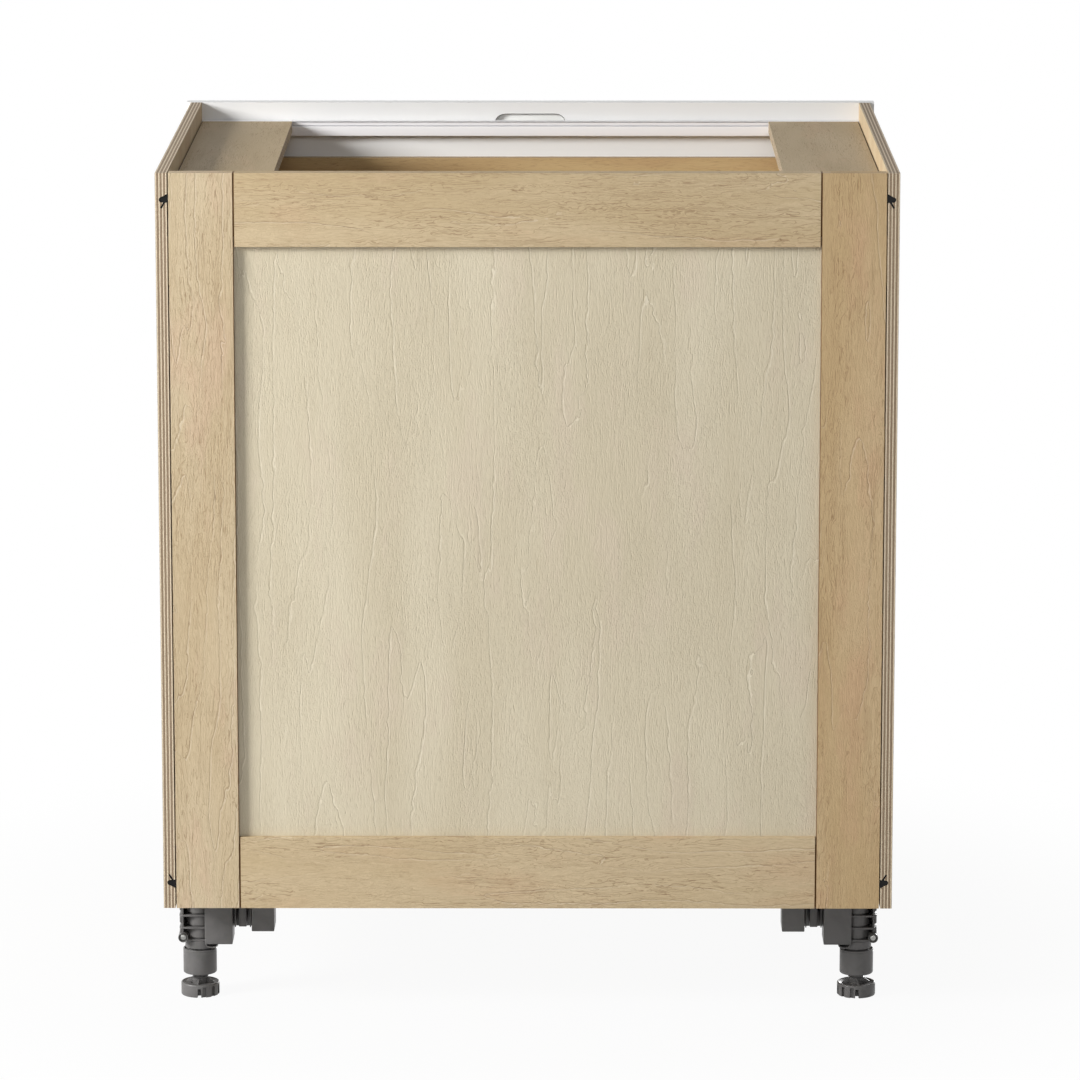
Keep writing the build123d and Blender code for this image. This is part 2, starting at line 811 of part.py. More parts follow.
def leg_bracket(corner):
    """Moulded bracket: plate, ribbed socket with a web and a clamp ear, body, link and pad."""
    side, end = corner
    x, y = leg_axis(side, end)

    def slab(start, stop, half_depth, low_z, high_z, mode=Mode.ADD):
        """Box across the bracket, between two distances from the leg's axis."""
        low = (x - side * start, y - half_depth, low_z)
        block(low, (x - side * stop, y + half_depth, high_z), mode)

    with BuildPart() as bracket:
        slab(body_start, body_end, body_half_depth, body_bottom, shelf_under_z)
        slab(pad_start, pad_end, pad_half_depth, pad_bottom, shelf_under_z)
        low_edges = bracket.edges().filter_by(Axis.Y).filter_by_position(Axis.Z, 0, pad_bottom)
        chamfer(low_edges, moulding_edge)
        slab(plate_start, pad_end, plate_half_depth, plate_under_z, shelf_under_z)
        slab(body_end, pad_start, link_half_depth, link_bottom, shelf_under_z)
        core = (body_end + link_core_inset, pad_start - link_core_inset)
        slab(*core, link_core_half_depth, link_bottom, shelf_under_z)
        post(corner, socket_radius, socket_bottom, shelf_under_z)
        for i in range(rib_count):
            rib_z = socket_bottom + i * rib_spacing
            slab(-rib_reach, body_start, rib_half_depth, rib_z, rib_z + rib_thickness)
        web_outer = -web_reach - web_thickness
        slab(web_outer, -web_reach, web_half_depth, socket_bottom, shelf_under_z)
        tab_y = y + end * body_half_depth
        block(
            (x - side * tab_start, tab_y, tab_bottom),
            (x - side * tab_end, tab_y - end * tab_thickness, body_bottom),
        )
        depth = body_half_depth - moulding_wall
        pocket = (socket_radius, body_end - moulding_wall)
        slab(*pocket, depth, body_bottom, plate_under_z, Mode.SUBTRACT)
        depth = pad_half_depth - moulding_wall
        pocket = (pad_start + moulding_wall, pad_end - moulding_wall)
        slab(*pocket, depth, pad_bottom, plate_under_z, Mode.SUBTRACT)
        ear = (x + side * ear_reach, y, socket_bottom + ear_rise)
        with BuildSketch(Plane(origin=ear, x_dir=(side, 0, 0), z_dir=(0, end, 0))):
            RegularPolygon(ear_radius, round_sides // 2)
        extrude(amount=ear_length / 2, both=True)
        post(corner, collar_radius + socket_play, body_bottom, socket_bottom, Mode.SUBTRACT)
        bore = (spigot_radius + socket_play, socket_bottom, spigot_top + socket_play)
        post(corner, *bore, Mode.SUBTRACT, spigot_sides)
        drill([clamp_screw_place(corner)], clamp_screw_length)
        drill(bracket_screw_places(corner, plate_under_z), plate_thickness)
    return bracket


def leg_tube(corner):
    """Tube of one leg: the part that shows, its collar and the keyed spigot in the socket."""
    with BuildPart() as tube:
        post(corner, tube_radius, tube_bottom, tube_top)
        chamfer(tube.faces().sort_by(Axis.Z)[0].edges(), tube_chamfer)
        post(corner, collar_radius, tube_top, socket_bottom)
        post(corner, spigot_radius, socket_bottom, spigot_top, Mode.ADD, spigot_sides)
        post(corner, spindle_radius + running_gap, tube_bottom, bore_top, Mode.SUBTRACT)
    return tube


def foot(corner):
    """Foot disc with a dished and ribbed top, finger flutes, a key notch and its spindle."""
    side, end = corner
    x, y = leg_axis(side, end)
    facing_out = 90 * end
    inboard_turn = end * side
    rim_radius = foot_radius - foot_rim
    dish_z = foot_height - foot_dish
    rib_top = foot_height - foot_rib_drop
    with BuildPart() as piece:
        post(corner, foot_radius, 0, foot_height)
        post(corner, rim_radius, dish_z, foot_height, Mode.SUBTRACT)
        post(corner, spindle_radius, dish_z, spindle_top)
        with BuildSketch(Plane.XY.offset(dish_z)):
            with Locations((x, y)):
                with PolarLocations((spindle_radius + rim_radius) / 2, foot_ribs, facing_out):
                    Rectangle(rim_radius - spindle_radius + foot_rim / 2, foot_rib_thickness)
        extrude(amount=rib_top - dish_z)
        with BuildSketch(Plane.XY.offset(flute_bottom)):
            for i in range(flute_count):
                turn = facing_out + inboard_turn * (flute_first + i * flute_pitch)
                angle = radians(turn)
                reach = foot_radius - flute_depth / 2
                with Locations((x + reach * cos(angle), y + reach * sin(angle))):
                    Rectangle(flute_depth, flute_width, rotation=turn)
        extrude(amount=rib_top - flute_bottom, mode=Mode.SUBTRACT)
        block(
            (x - notch_width / 2, y + end * (foot_radius - notch_depth), 0),
            (x + notch_width / 2, y + end * foot_radius, notch_height),
            Mode.SUBTRACT,
        )
    return piece


legs_middle = Plane.XZ.offset(-(box_front_y + box_back_y) / 2)

one_bracket = leg_bracket(corners["rear_right"])
with BuildPart() as leg_brackets:
    add(one_bracket.part)
    mirror(about=Plane.YZ)
    mirror(about=legs_middle)
keep(leg_brackets, "leg_brackets")

one_tube = leg_tube(corners["rear_right"])
with BuildPart() as leg_tubes:
    add(one_tube.part)
    mirror(about=Plane.YZ)
    mirror(about=legs_middle)
keep(leg_tubes, "leg_tubes")

for corner_name, corner in corners.items():
    keep(foot(corner), f"foot_{corner_name}")

with BuildPart() as leg_screws:
    for corner in corners.values():
        with Locations(*bracket_screw_places(corner, plate_under_z)):
            add(screw(bracket_screw_length))
        with Locations(clamp_screw_place(corner)):
            add(screw(clamp_screw_length))
keep(leg_screws, "leg_screws")
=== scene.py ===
"""Drawer base cabinet, dressed for a studio picture of its back.

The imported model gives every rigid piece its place. Finishes are procedural and follow the real
materials. The levelling legs, pulls and screws are modelled again with their round forms, and the
slides get their ball cages. All lengths in this file's values are in millimetres unless a name
ends in _m, and everything in Blender is in metres.
"""

from __future__ import annotations

import logging
import math
from contextlib import contextmanager
from dataclasses import dataclass, field
from enum import Enum
from typing import Any, Callable, Iterator, Sequence

import bmesh
import bpy
from mathutils import Matrix, Vector

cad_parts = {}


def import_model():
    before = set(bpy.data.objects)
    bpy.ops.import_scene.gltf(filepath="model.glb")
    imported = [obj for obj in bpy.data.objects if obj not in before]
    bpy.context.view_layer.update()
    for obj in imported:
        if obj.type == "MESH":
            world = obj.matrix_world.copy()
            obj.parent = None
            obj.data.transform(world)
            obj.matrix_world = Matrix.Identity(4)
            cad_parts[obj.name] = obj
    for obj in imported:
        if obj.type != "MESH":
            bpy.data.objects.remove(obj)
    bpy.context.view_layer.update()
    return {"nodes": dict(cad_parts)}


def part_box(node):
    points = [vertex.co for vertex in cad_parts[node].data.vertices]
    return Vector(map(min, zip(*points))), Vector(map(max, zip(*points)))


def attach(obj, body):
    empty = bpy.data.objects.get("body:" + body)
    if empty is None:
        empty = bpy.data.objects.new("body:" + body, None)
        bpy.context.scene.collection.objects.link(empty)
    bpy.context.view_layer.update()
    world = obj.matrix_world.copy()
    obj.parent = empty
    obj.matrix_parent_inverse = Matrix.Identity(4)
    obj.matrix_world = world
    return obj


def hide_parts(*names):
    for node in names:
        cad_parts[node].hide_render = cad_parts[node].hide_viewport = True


log = logging.getLogger("cabinet")

MM = 0.001
FULL_TURN = 2 * math.pi
DRAWERS = ("top", "middle", "bottom")
CORNERS = {
    "front_left": (-1, -1),
    "front_right": (1, -1),
    "rear_left": (-1, 1),
    "rear_right": (1, 1),
}

Profile = Sequence[tuple[float, float]]


class Grain(Enum):
    """Direction that the wood's fibres run in."""

    UPRIGHT = "upright"
    ACROSS = "across"
    DEPTH = "depth"


class Axis(Enum):
    """Axis that a plywood board's thickness lies along."""

    X = 0
    Y = 1
    Z = 2


def linear(colour: str) -> tuple[float, float, float, float]:
    """Turn an sRGB hex colour into linear values.

    Args:
        colour: Six hex digits, red first.

    Returns:
        Linear red, green and blue, and an alpha of 1.
    """
    channels = [int(colour[i : i + 2], 16) / 255 for i in (0, 2, 4)]
    values = [c / 12.92 if c <= 0.04045 else ((c + 0.055) / 1.055) ** 2.4 for c in channels]
    return values[0], values[1], values[2], 1.0


def add_node(
    tree: bpy.types.NodeTree,
    kind: str,
    inputs: dict[Any, Any] | None = None,
    **settings: Any,
) -> bpy.types.Node:
    """Add one node with its settings and links.

    Args:
        tree: The material's node tree.
        kind: Blender's name for the node's type.
        inputs: Per input, a plain value, a socket, or a node whose first output is linked.
        settings: Properties of the node.

    Returns:
        The new node.
    """
    node = tree.nodes.new(kind)
    for name, value in settings.items():
        setattr(node, name, value)
    for key, value in (inputs or {}).items():
        if isinstance(value, bpy.types.Node):
            value = value.outputs[0]
        if isinstance(value, bpy.types.NodeSocket):
            tree.links.new(value, node.inputs[key])
        else:
            node.inputs[key].default_value = value
    return node


def new_material(name: str) -> tuple[bpy.types.Material, bpy.types.NodeTree, bpy.types.Node]:
    """Start a material.

    Args:
        name: Name of the finish.

    Returns:
        The material, its node tree and its surface shader.
    """
    material = bpy.data.materials.new(name)
    material.use_nodes = True
    tree = material.node_tree
    return material, tree, tree.nodes["Principled BSDF"]


def wood_place(tree: bpy.types.NodeTree, grain: Grain, seed: float) -> bpy.types.Node:
    """Give a point's place in the wood, with the grain along the third axis.

    Args:
        tree: The material's node tree.
        grain: Direction of the fibres in the cabinet.
        seed: Offset that gives each kind of board its own piece of the pattern.

    Returns:
        Node whose first output is the place in metres.
    """
    place = add_node(tree, "ShaderNodeTexCoord")
    moved = add_node(
        tree,
        "ShaderNodeVectorMath",
        {0: place.outputs["Object"], 1: (seed, seed * 0.7, seed * 1.3)},
        operation="ADD",
    )
    split = add_node(tree, "ShaderNodeSeparateXYZ", {0: moved})
    order = {Grain.UPRIGHT: (0, 1, 2), Grain.ACROSS: (2, 1, 0), Grain.DEPTH: (0, 2, 1)}[grain]
    return add_node(
        tree, "ShaderNodeCombineXYZ", {i: split.outputs[axis] for i, axis in enumerate(order)}
    )


def joint_shade_line(
    tree: bpy.types.NodeTree, colour: bpy.types.NodeSocket, place: float, reach: float, stain_and_painted_light: str
) -> bpy.types.NodeSocket:
    """Paint a darker line beside an upright joint on both sides of the cabinet's middle; it stands for the joint's
    dark arris and for painted shade in the gap beside it.

    Args:
        tree: The material's node tree.
        colour: Colour of the wood.
        place: Distance of the joint from the middle in millimetres.
        reach: How far from the joint the wood is darker.
        stain_and_painted_light: Colour of the line, partly the arris's own colour and partly painted shade.

    Returns:
        The colour with its joint line.
    """
    world = add_node(tree, "ShaderNodeTexCoord")
    point = add_node(tree, "ShaderNodeSeparateXYZ", {0: world.outputs["Object"]})
    across = add_node(tree, "ShaderNodeMath", {0: point.outputs[0]}, operation="ABSOLUTE")
    near = add_node(
        tree, "ShaderNodeMath", {0: across, 1: place * MM, 2: reach * MM}, operation="COMPARE"
    )
    mix = add_node(
        tree, "ShaderNodeMix", {0: near, 6: colour, 7: linear(stain_and_painted_light)}, data_type="RGBA"
    )
    return mix.outputs[2]


@dataclass(frozen=True)
class WoodLook:
    """Colours and pattern strengths of one wood.

    Pattern sizes are real ones: fibre bundles about 1 mm wide, pores 12 mm long, and growth lines
    some 20 to 40 mm apart on a flat-sawn face.
    """

    light: str
    dark: str
    blush: str
    line: str
    # Colour and strength of the painted highlight on each growth line's light side
    painted_highlight: str = "FFF8E6"
    ring_lines: float = 6.0
    ring_width: float = 0.9
    ring_strength: float = 0.16
    painted_highlight_strength: float = 0.2
    speckle_strength: float = 0.0
    vein_strength: float = 0.2
    fleck_strength: float = 0.3
    fibre_strength: float = 0.1
    pore: tuple[float, float] = (1.3, 12.0)
    kink: float = 0.0
    line_relief: float = 0.5
    relief: float = 0.2

    def stretched(
        self, tree: bpy.types.NodeTree, source: bpy.types.Node, across: float, along: float
    ) -> bpy.types.Node:
        """Count a place in pattern cells.

        Args:
            tree: The material's node tree.
            source: Place in metres.
            across: Width of a cell in millimetres.
            along: Its length along the grain.

        Returns:
            Node that gives the place in cells.
        """
        cells = (1 / (across * MM), 1 / (across * MM), 1 / (along * MM))
        return add_node(tree, "ShaderNodeVectorMath", {0: source, 1: cells}, operation="MULTIPLY")

    def contours(
        self,
        tree: bpy.types.NodeTree,
        source: bpy.types.Node,
        cell: tuple[float, float],
        count: float,
        width: float,
    ) -> list[bpy.types.NodeSocket]:
        """Draw the contour lines of a slow noise, all of one width.

        Args:
            tree: The material's node tree.
            source: Place in metres.
            cell: Width and length of the noise's cells in millimetres.
            count: How many lines there are from its lowest to its highest value.
            width: Width of a line in millimetres.

        Returns:
            Sockets that are 1 on the lines' dark sides and on their light sides.
        """
        steps = []
        for shift in (0.0, width * MM, 2 * width * MM):
            moved = add_node(
                tree, "ShaderNodeVectorMath", {0: source, 1: (shift, 0.0, shift)}, operation="ADD"
            )
            hills = add_node(
                tree,
                "ShaderNodeTexNoise",
                {
                    "Vector": self.stretched(tree, moved, *cell),
                    "Scale": 1.0,
                    "Detail": 2.0,
                    "Roughness": 0.4,
                },
            )
            scaled = add_node(
                tree, "ShaderNodeMath", {0: hills.outputs[0], 1: count}, operation="MULTIPLY"
            )
            steps.append(add_node(tree, "ShaderNodeMath", {0: scaled}, operation="FLOOR"))
        sides = []
        for step, beside in zip(steps, steps[1:]):
            same = add_node(
                tree, "ShaderNodeMath", {0: step, 1: beside, 2: 0.5}, operation="COMPARE"
            )
            other = add_node(tree, "ShaderNodeMath", {0: 1.0, 1: same}, operation="SUBTRACT")
            sides.append(other.outputs[0])
        return sides

    def patches(
        self,
        tree: bpy.types.NodeTree,
        source: bpy.types.Node,
        cell: tuple[float, float],
        bounds: tuple[float, float],
    ) -> bpy.types.Node:
        """Say where a pattern is present, in long soft patches.

        Args:
            tree: The material's node tree.
            source: Place in metres.
            cell: Width and length of a patch in millimetres.
            bounds: Noise values where the pattern starts and where it is full.

        Returns:
            Node that gives 0 to 1.
        """
        noise = add_node(
            tree,
            "ShaderNodeTexNoise",
            {
                "Vector": self.stretched(tree, source, *cell),
                "Scale": 1.0,
                "Detail": 2.0,
                "Roughness": 0.6,
            },
        )
        return add_node(
            tree,
            "ShaderNodeMapRange",
            {0: noise.outputs[0], 1: bounds[0], 2: bounds[1], 3: 0.0, 4: 1.0},
            interpolation_type="SMOOTHSTEP",
        )

    def blend(
        self, tree: bpy.types.NodeTree, share: Any, colour: Any, other: Any
    ) -> bpy.types.NodeSocket:
        """Mix two colours by a share of the second."""
        mix = add_node(tree, "ShaderNodeMix", {0: share, 6: colour, 7: other}, data_type="RGBA")
        return mix.outputs[2]

    def draw(
        self, tree: bpy.types.NodeTree, place: bpy.types.Node
    ) -> tuple[bpy.types.NodeSocket, bpy.types.NodeSocket]:
        """Draw the wood on a place.

        Args:
            tree: The material's node tree.
            place: Place in the wood, in metres, with the grain along the third axis.

        Returns:
            The colour, and the height of the surface from 0 to 1.
        """
        # Growth lines wander a few millimetres along the board, with small kinks
        drift = add_node(
            tree,
            "ShaderNodeTexNoise",
            {
                "Vector": self.stretched(tree, place, 42, 130),
                "Scale": 1.0,
                "Detail": 4.0,
                "Roughness": 0.58,
            },
        )
        centred = add_node(
            tree,
            "ShaderNodeVectorMath",
            {0: drift.outputs["Color"], 1: (0.5, 0.5, 0.5)},
            operation="SUBTRACT",
        )
        wander = add_node(
            tree, "ShaderNodeVectorMath", {0: centred, 1: (0.014, 0.014, 0.05)}, operation="MULTIPLY"
        )
        bent = add_node(tree, "ShaderNodeVectorMath", {0: place, 1: wander}, operation="ADD")
        if self.kink:
            # Where the tree grew unevenly the lines jog sideways every centimetre or two
            jogs = add_node(
                tree,
                "ShaderNodeTexNoise",
                {
                    "Vector": self.stretched(tree, place, 9, 17),
                    "Scale": 1.0,
                    "Detail": 2.0,
                    "Roughness": 0.5,
                },
            )
            level = add_node(
                tree, "ShaderNodeMath", {0: jogs.outputs[0], 1: 0.5}, operation="SUBTRACT"
            )
            step = add_node(
                tree, "ShaderNodeMath", {0: level, 1: self.kink * MM}, operation="MULTIPLY"
            )
            sideways = add_node(tree, "ShaderNodeCombineXYZ", {0: step, 1: step})
            bent = add_node(
                tree, "ShaderNodeVectorMath", {0: bent, 1: sideways}, operation="ADD"
            )
        # The contours close into the arches and islands of a flat-sawn face
        dark_side, light_side = self.contours(
            tree, bent, (50, 430), self.ring_lines, self.ring_width
        )
        kept = self.patches(tree, place, (40, 200), (0.36, 0.56))
        ring = add_node(tree, "ShaderNodeMath", {0: dark_side, 1: kept}, operation="MULTIPLY")
        # The lines' light sides get a painted highlight, as if the lines stood in relief lit from one side.
        rim = add_node(tree, "ShaderNodeMath", {0: light_side, 1: kept}, operation="MULTIPLY")
        fibres = add_node(
            tree,
            "ShaderNodeTexNoise",
            {
                "Vector": self.stretched(tree, bent, 1.3, 15),
                "Scale": 1.0,
                "Detail": 3.0,
                "Roughness": 0.65,
            },
        )
        streak = add_node(
            tree,
            "ShaderNodeMapRange",
            {0: fibres.outputs[0], 1: 0.3, 2: 0.7, 3: 0.0, 4: self.fibre_strength},
        )
        # Pores are 0.1 mm wide in the wood and drawn 1 mm wide, so that they show
        pores = self.patches(tree, bent, self.pore, (0.56, 0.7))
        dense = self.patches(tree, place, (26, 180), (0.3, 0.58))
        fleck = add_node(tree, "ShaderNodeMath", {0: pores, 1: dense}, operation="MULTIPLY")
        shade = self.patches(tree, bent, (90, 520), (0.33, 0.67))
        warm = add_node(
            tree,
            "ShaderNodeMapRange",
            {0: drift.outputs[0], 1: 0.5, 2: 0.7, 3: 0.0, 4: 0.6},
            interpolation_type="SMOOTHSTEP",
        )
        line = linear(self.line)
        colour = self.blend(tree, shade, linear(self.light), linear(self.dark))
        colour = self.blend(tree, warm, colour, linear(self.blush))
        colour = self.blend(tree, streak, colour, line)
        # Between the fibres the veneer is broken into grains one to two millimetres long
        grains = self.patches(tree, bent, (1.1, 2.6), (0.5, 0.64))
        broken = self.patches(tree, place, (60, 110), (0.2, 0.7))
        speckle = add_node(tree, "ShaderNodeMath", {0: grains, 1: broken}, operation="MULTIPLY")
        # Rings, flecks, speckle and veins are the wood's own darker marks; the rings' light sides are a painted
        # highlight.
        marks = [
            (fleck, self.fleck_strength, line),
            (speckle, self.speckle_strength, line),
            (ring, self.ring_strength, line),
            (rim, self.painted_highlight_strength, linear(self.painted_highlight)),
        ]
        if self.vein_strength:
            # Fine dark lines follow the fibres a few millimetres apart
            lines = self.contours(tree, bent, (15, 150), 16.0, 0.55)[0]
            veins = add_node(tree, "ShaderNodeMath", {0: lines, 1: dense}, operation="MULTIPLY")
            marks.append((veins, self.vein_strength, line))
        for mark, strength, stain_and_painted_light in marks:
            share = add_node(tree, "ShaderNodeMath", {0: mark, 1: strength}, operation="MULTIPLY")
            colour = self.blend(tree, share, colour, stain_and_painted_light)
        height = fibres.outputs[0]
        for mark, depth in ((speckle, -0.3), (ring, -self.line_relief), (fleck, -0.3)):
            height = add_node(
                tree, "ShaderNodeMath", {0: mark, 1: depth, 2: height}, operation="MULTIPLY_ADD"
            )
        return colour, height.outputs[0]


@dataclass(frozen=True)
class WoodFinish:
    """Solid wood or veneer under a thin matt oil, which keeps its pores open and a low sheen.

    Where boards meet in a joint a darker brown line is painted: partly the joint's own dark arris, partly painted
    shade in the gap and, along the stiles' inner edges, painted shadow from the panel's recess.
    """

    name: str
    look: WoodLook
    grain: Grain
    seed: float
    roughness: float = 0.6
    joint: float = 0.0
    joint_reach: float = 0.95
    joint_shade_colour: str = "6A4C2C"

    def material(self) -> bpy.types.Material:
        """Build the finish."""
        material, tree, surface = new_material(self.name)
        place = wood_place(tree, self.grain, self.seed)
        colour, height = self.look.draw(tree, place)
        # The joint line mixes the arris's own colour with painted shade.
        if self.joint:
            colour = joint_shade_line(tree, colour, self.joint, self.joint_reach, self.joint_shade_colour)
        bump = add_node(
            tree,
            "ShaderNodeBump",
            {"Height": height, "Distance": self.look.relief * MM, "Strength": 1.0},
        )
        tree.links.new(colour, surface.inputs["Base Color"])
        tree.links.new(bump.outputs[0], surface.inputs["Normal"])
        surface.inputs["Roughness"].default_value = self.roughness
        surface.inputs["Specular IOR Level"].default_value = 0.2
        return material


@dataclass(frozen=True)
class PlyFinish:
    """Birch plywood: face veneer on both faces and the plies' long and end grain on its edges."""

    name: str
    look: WoodLook
    grain: Grain
    seed: float
    plies: int
    long_grain: str
    end_grain: str
    glue: str
    joint: float = 0.0
    roughness: float = 0.6

    def material(self, start: float, thickness: float, axis: Axis, mirrored: bool) -> bpy.types.Material:
        """Build the finish for one board or a mirrored pair.

        Args:
            start: Where the thickness starts, in metres from the frame's origin.
            thickness: The board's thickness in metres.
            axis: Axis of the thickness.
            mirrored: Whether the pair lies on both sides of the cabinet's middle.

        Returns:
            The material.
        """
        material, tree, surface = new_material(self.name)
        place = wood_place(tree, self.grain, self.seed)
        colour, height = self.look.draw(tree, place)
        # Beside the joint a near-black line is painted: painted shade in the gap where the stretcher meets the side
        # panel.
        if self.joint:
            colour = joint_shade_line(tree, colour, self.joint, 1.6, "3A2A1A")
        world = add_node(tree, "ShaderNodeTexCoord")
        point = add_node(tree, "ShaderNodeSeparateXYZ", {0: world.outputs["Object"]})
        across = point.outputs[axis.value]
        if mirrored:
            across = add_node(tree, "ShaderNodeMath", {0: across}, operation="ABSOLUTE").outputs[0]
        # The veneers' seams run a tenth of a millimetre out of true
        waver = add_node(
            tree,
            "ShaderNodeTexNoise",
            {"Vector": world.outputs["Object"], "Scale": 130.0, "Detail": 2.0},
        )
        level = add_node(
            tree,
            "ShaderNodeMapRange",
            {0: across, 1: start, 2: start + thickness, 3: 0.0, 4: float(self.plies)},
        )
        offset = add_node(
            tree, "ShaderNodeMath", {0: waver.outputs[0], 1: 0.24, 2: level}, operation="MULTIPLY_ADD"
        )
        ply = add_node(tree, "ShaderNodeMath", {0: offset, 1: 0.12}, operation="SUBTRACT")
        inside = add_node(
            tree, "ShaderNodeClamp", {0: ply, 1: 0.02, 2: self.plies - 0.02}, clamp_type="MINMAX"
        )
        turn = add_node(tree, "ShaderNodeMath", {0: inside, 1: 2.0}, operation="MODULO")
        crossed = add_node(tree, "ShaderNodeMath", {0: turn, 1: 1.0}, operation="GREATER_THAN")
        near_seam = add_node(tree, "ShaderNodeMath", {0: inside, 1: 0.5}, operation="ADD")
        part = add_node(tree, "ShaderNodeMath", {0: near_seam}, operation="FRACT")
        off_seam = add_node(tree, "ShaderNodeMath", {0: part, 1: 0.5}, operation="SUBTRACT")
        distance = add_node(tree, "ShaderNodeMath", {0: off_seam}, operation="ABSOLUTE")
        # Glue lines are 0.1 mm thick and drawn 0.3 mm thick, so that they show
        glued = add_node(
            tree,
            "ShaderNodeMapRange",
            {0: distance, 1: 0.04, 2: 0.15, 3: 0.85, 4: 0.0},
            interpolation_type="SMOOTHSTEP",
        )
        # End grain shows cut fibre ends, with torn dark spots
        ends = add_node(
            tree,
            "ShaderNodeTexNoise",
            {"Vector": world.outputs["Object"], "Scale": 900.0, "Detail": 3.0, "Roughness": 0.7},
        )
        torn = add_node(
            tree,
            "ShaderNodeMapRange",
            {0: ends.outputs[0], 1: 0.35, 2: 0.75, 3: 0.0, 4: 0.6},
        )
        rough_end = add_node(
            tree,
            "ShaderNodeMix",
            {0: torn, 6: linear(self.end_grain), 7: linear(self.glue)},
            data_type="RGBA",
        )
        smooth_edge = add_node(
            tree,
            "ShaderNodeMix",
            {0: torn, 6: linear(self.long_grain), 7: linear(self.end_grain)},
            data_type="RGBA",
        )
        banded = add_node(
            tree,
            "ShaderNodeMix",
            {0: crossed, 6: smooth_edge.outputs[2], 7: rough_end.outputs[2]},
            data_type="RGBA",
        )
        edge = add_node(
            tree,
            "ShaderNodeMix",
            {0: glued, 6: banded.outputs[2], 7: linear(self.glue)},
            data_type="RGBA",
        )
        facing = add_node(tree, "ShaderNodeSeparateXYZ", {0: world.outputs["Normal"]})
        size = add_node(
            tree, "ShaderNodeMath", {0: facing.outputs[axis.value]}, operation="ABSOLUTE"
        )
        is_face = add_node(tree, "ShaderNodeMath", {0: size, 1: 0.9}, operation="GREATER_THAN")
        shown = add_node(
            tree,
            "ShaderNodeMix",
            {0: is_face, 6: edge.outputs[2], 7: colour},
            data_type="RGBA",
        )
        edge_height = add_node(
            tree, "ShaderNodeMath", {0: glued, 1: -0.6, 2: ends.outputs[0]}, operation="MULTIPLY_ADD"
        )
        relief = add_node(
            tree,
            "ShaderNodeMix",
            {0: is_face, 2: edge_height, 3: height},
            data_type="FLOAT",
        )
        bump = add_node(
            tree,
            "ShaderNodeBump",
            {"Height": relief.outputs[0], "Distance": self.look.relief * MM, "Strength": 1.0},
        )
        tree.links.new(shown.outputs[2], surface.inputs["Base Color"])
        tree.links.new(bump.outputs[0], surface.inputs["Normal"])
        surface.inputs["Roughness"].default_value = self.roughness
        surface.inputs["Specular IOR Level"].default_value = 0.2
        return material


@dataclass(frozen=True)
class MouldedFinish:
    """Moulded plastic: one colour, a spark-eroded grain from the mould and faint flow marks."""

    name: str
    colour: str
    flow: str
    roughness: float
    grain: float
    depth: float
    specular: float = 0.5

    def material(self) -> bpy.types.Material:
        """Build the finish."""
        material, tree, surface = new_material(self.name)
        place = add_node(tree, "ShaderNodeTexCoord")
        flow = add_node(
            tree,
            "ShaderNodeTexNoise",
            {"Vector": place.outputs["Object"], "Scale": 55.0, "Detail": 3.0, "Distortion": 0.6},
        )
        share = add_node(
            tree, "ShaderNodeMapRange", {0: flow.outputs[0], 1: 0.4, 2: 0.7, 3: 0.0, 4: 1.0}
        )
        colour = add_node(
            tree,
            "ShaderNodeMix",
            {0: share, 6: linear(self.colour), 7: linear(self.flow)},
            data_type="RGBA",
        )
        pits = add_node(
            tree,
            "ShaderNodeTexNoise",
            {
                "Vector": place.outputs["Object"],
                "Scale": 1 / (self.grain * MM),
                "Detail": 2.0,
                "Roughness": 0.6,
            },
        )
        bump = add_node(
            tree,
            "ShaderNodeBump",
            {"Height": pits.outputs[0], "Distance": self.depth * MM, "Strength": 1.0},
        )
        gloss = add_node(
            tree,
            "ShaderNodeMapRange",
            {0: pits.outputs[0], 1: 0.3, 2: 0.7, 3: self.roughness - 0.05, 4: self.roughness + 0.05},
        )
        tree.links.new(colour.outputs[2], surface.inputs["Base Color"])
        tree.links.new(gloss.outputs[0], surface.inputs["Roughness"])
        tree.links.new(bump.outputs[0], surface.inputs["Normal"])
        surface.inputs["Specular IOR Level"].default_value = self.specular
        return material


@dataclass(frozen=True)
class PaintFinish:
    """Sprayed white lacquer or powder coat: an even colour with faint orange peel."""

    name: str
    colour: str
    shade: str
    roughness: float
    peel: float
    depth: float
    coat: float = 0.0

    def material(self) -> bpy.types.Material:
        """Build the finish."""
        material, tree, surface = new_material(self.name)
        place = add_node(tree, "ShaderNodeTexCoord")
        cloud = add_node(
            tree,
            "ShaderNodeTexNoise",
            {"Vector": place.outputs["Object"], "Scale": 9.0, "Detail": 2.0},
        )
        colour = add_node(
            tree,
            "ShaderNodeMix",
            {0: cloud.outputs[0], 6: linear(self.colour), 7: linear(self.shade)},
            data_type="RGBA",
        )
        peel = add_node(
            tree,
            "ShaderNodeTexNoise",
            {"Vector": place.outputs["Object"], "Scale": 1 / (self.peel * MM), "Detail": 1.0},
        )
        bump = add_node(
            tree,
            "ShaderNodeBump",
            {"Height": peel.outputs[0], "Distance": self.depth * MM, "Strength": 1.0},
        )
        tree.links.new(colour.outputs[2], surface.inputs["Base Color"])
        tree.links.new(bump.outputs[0], surface.inputs["Normal"])
        surface.inputs["Roughness"].default_value = self.roughness
        surface.inputs["Coat Weight"].default_value = self.coat
        surface.inputs["Coat Roughness"].default_value = 0.12
        return material


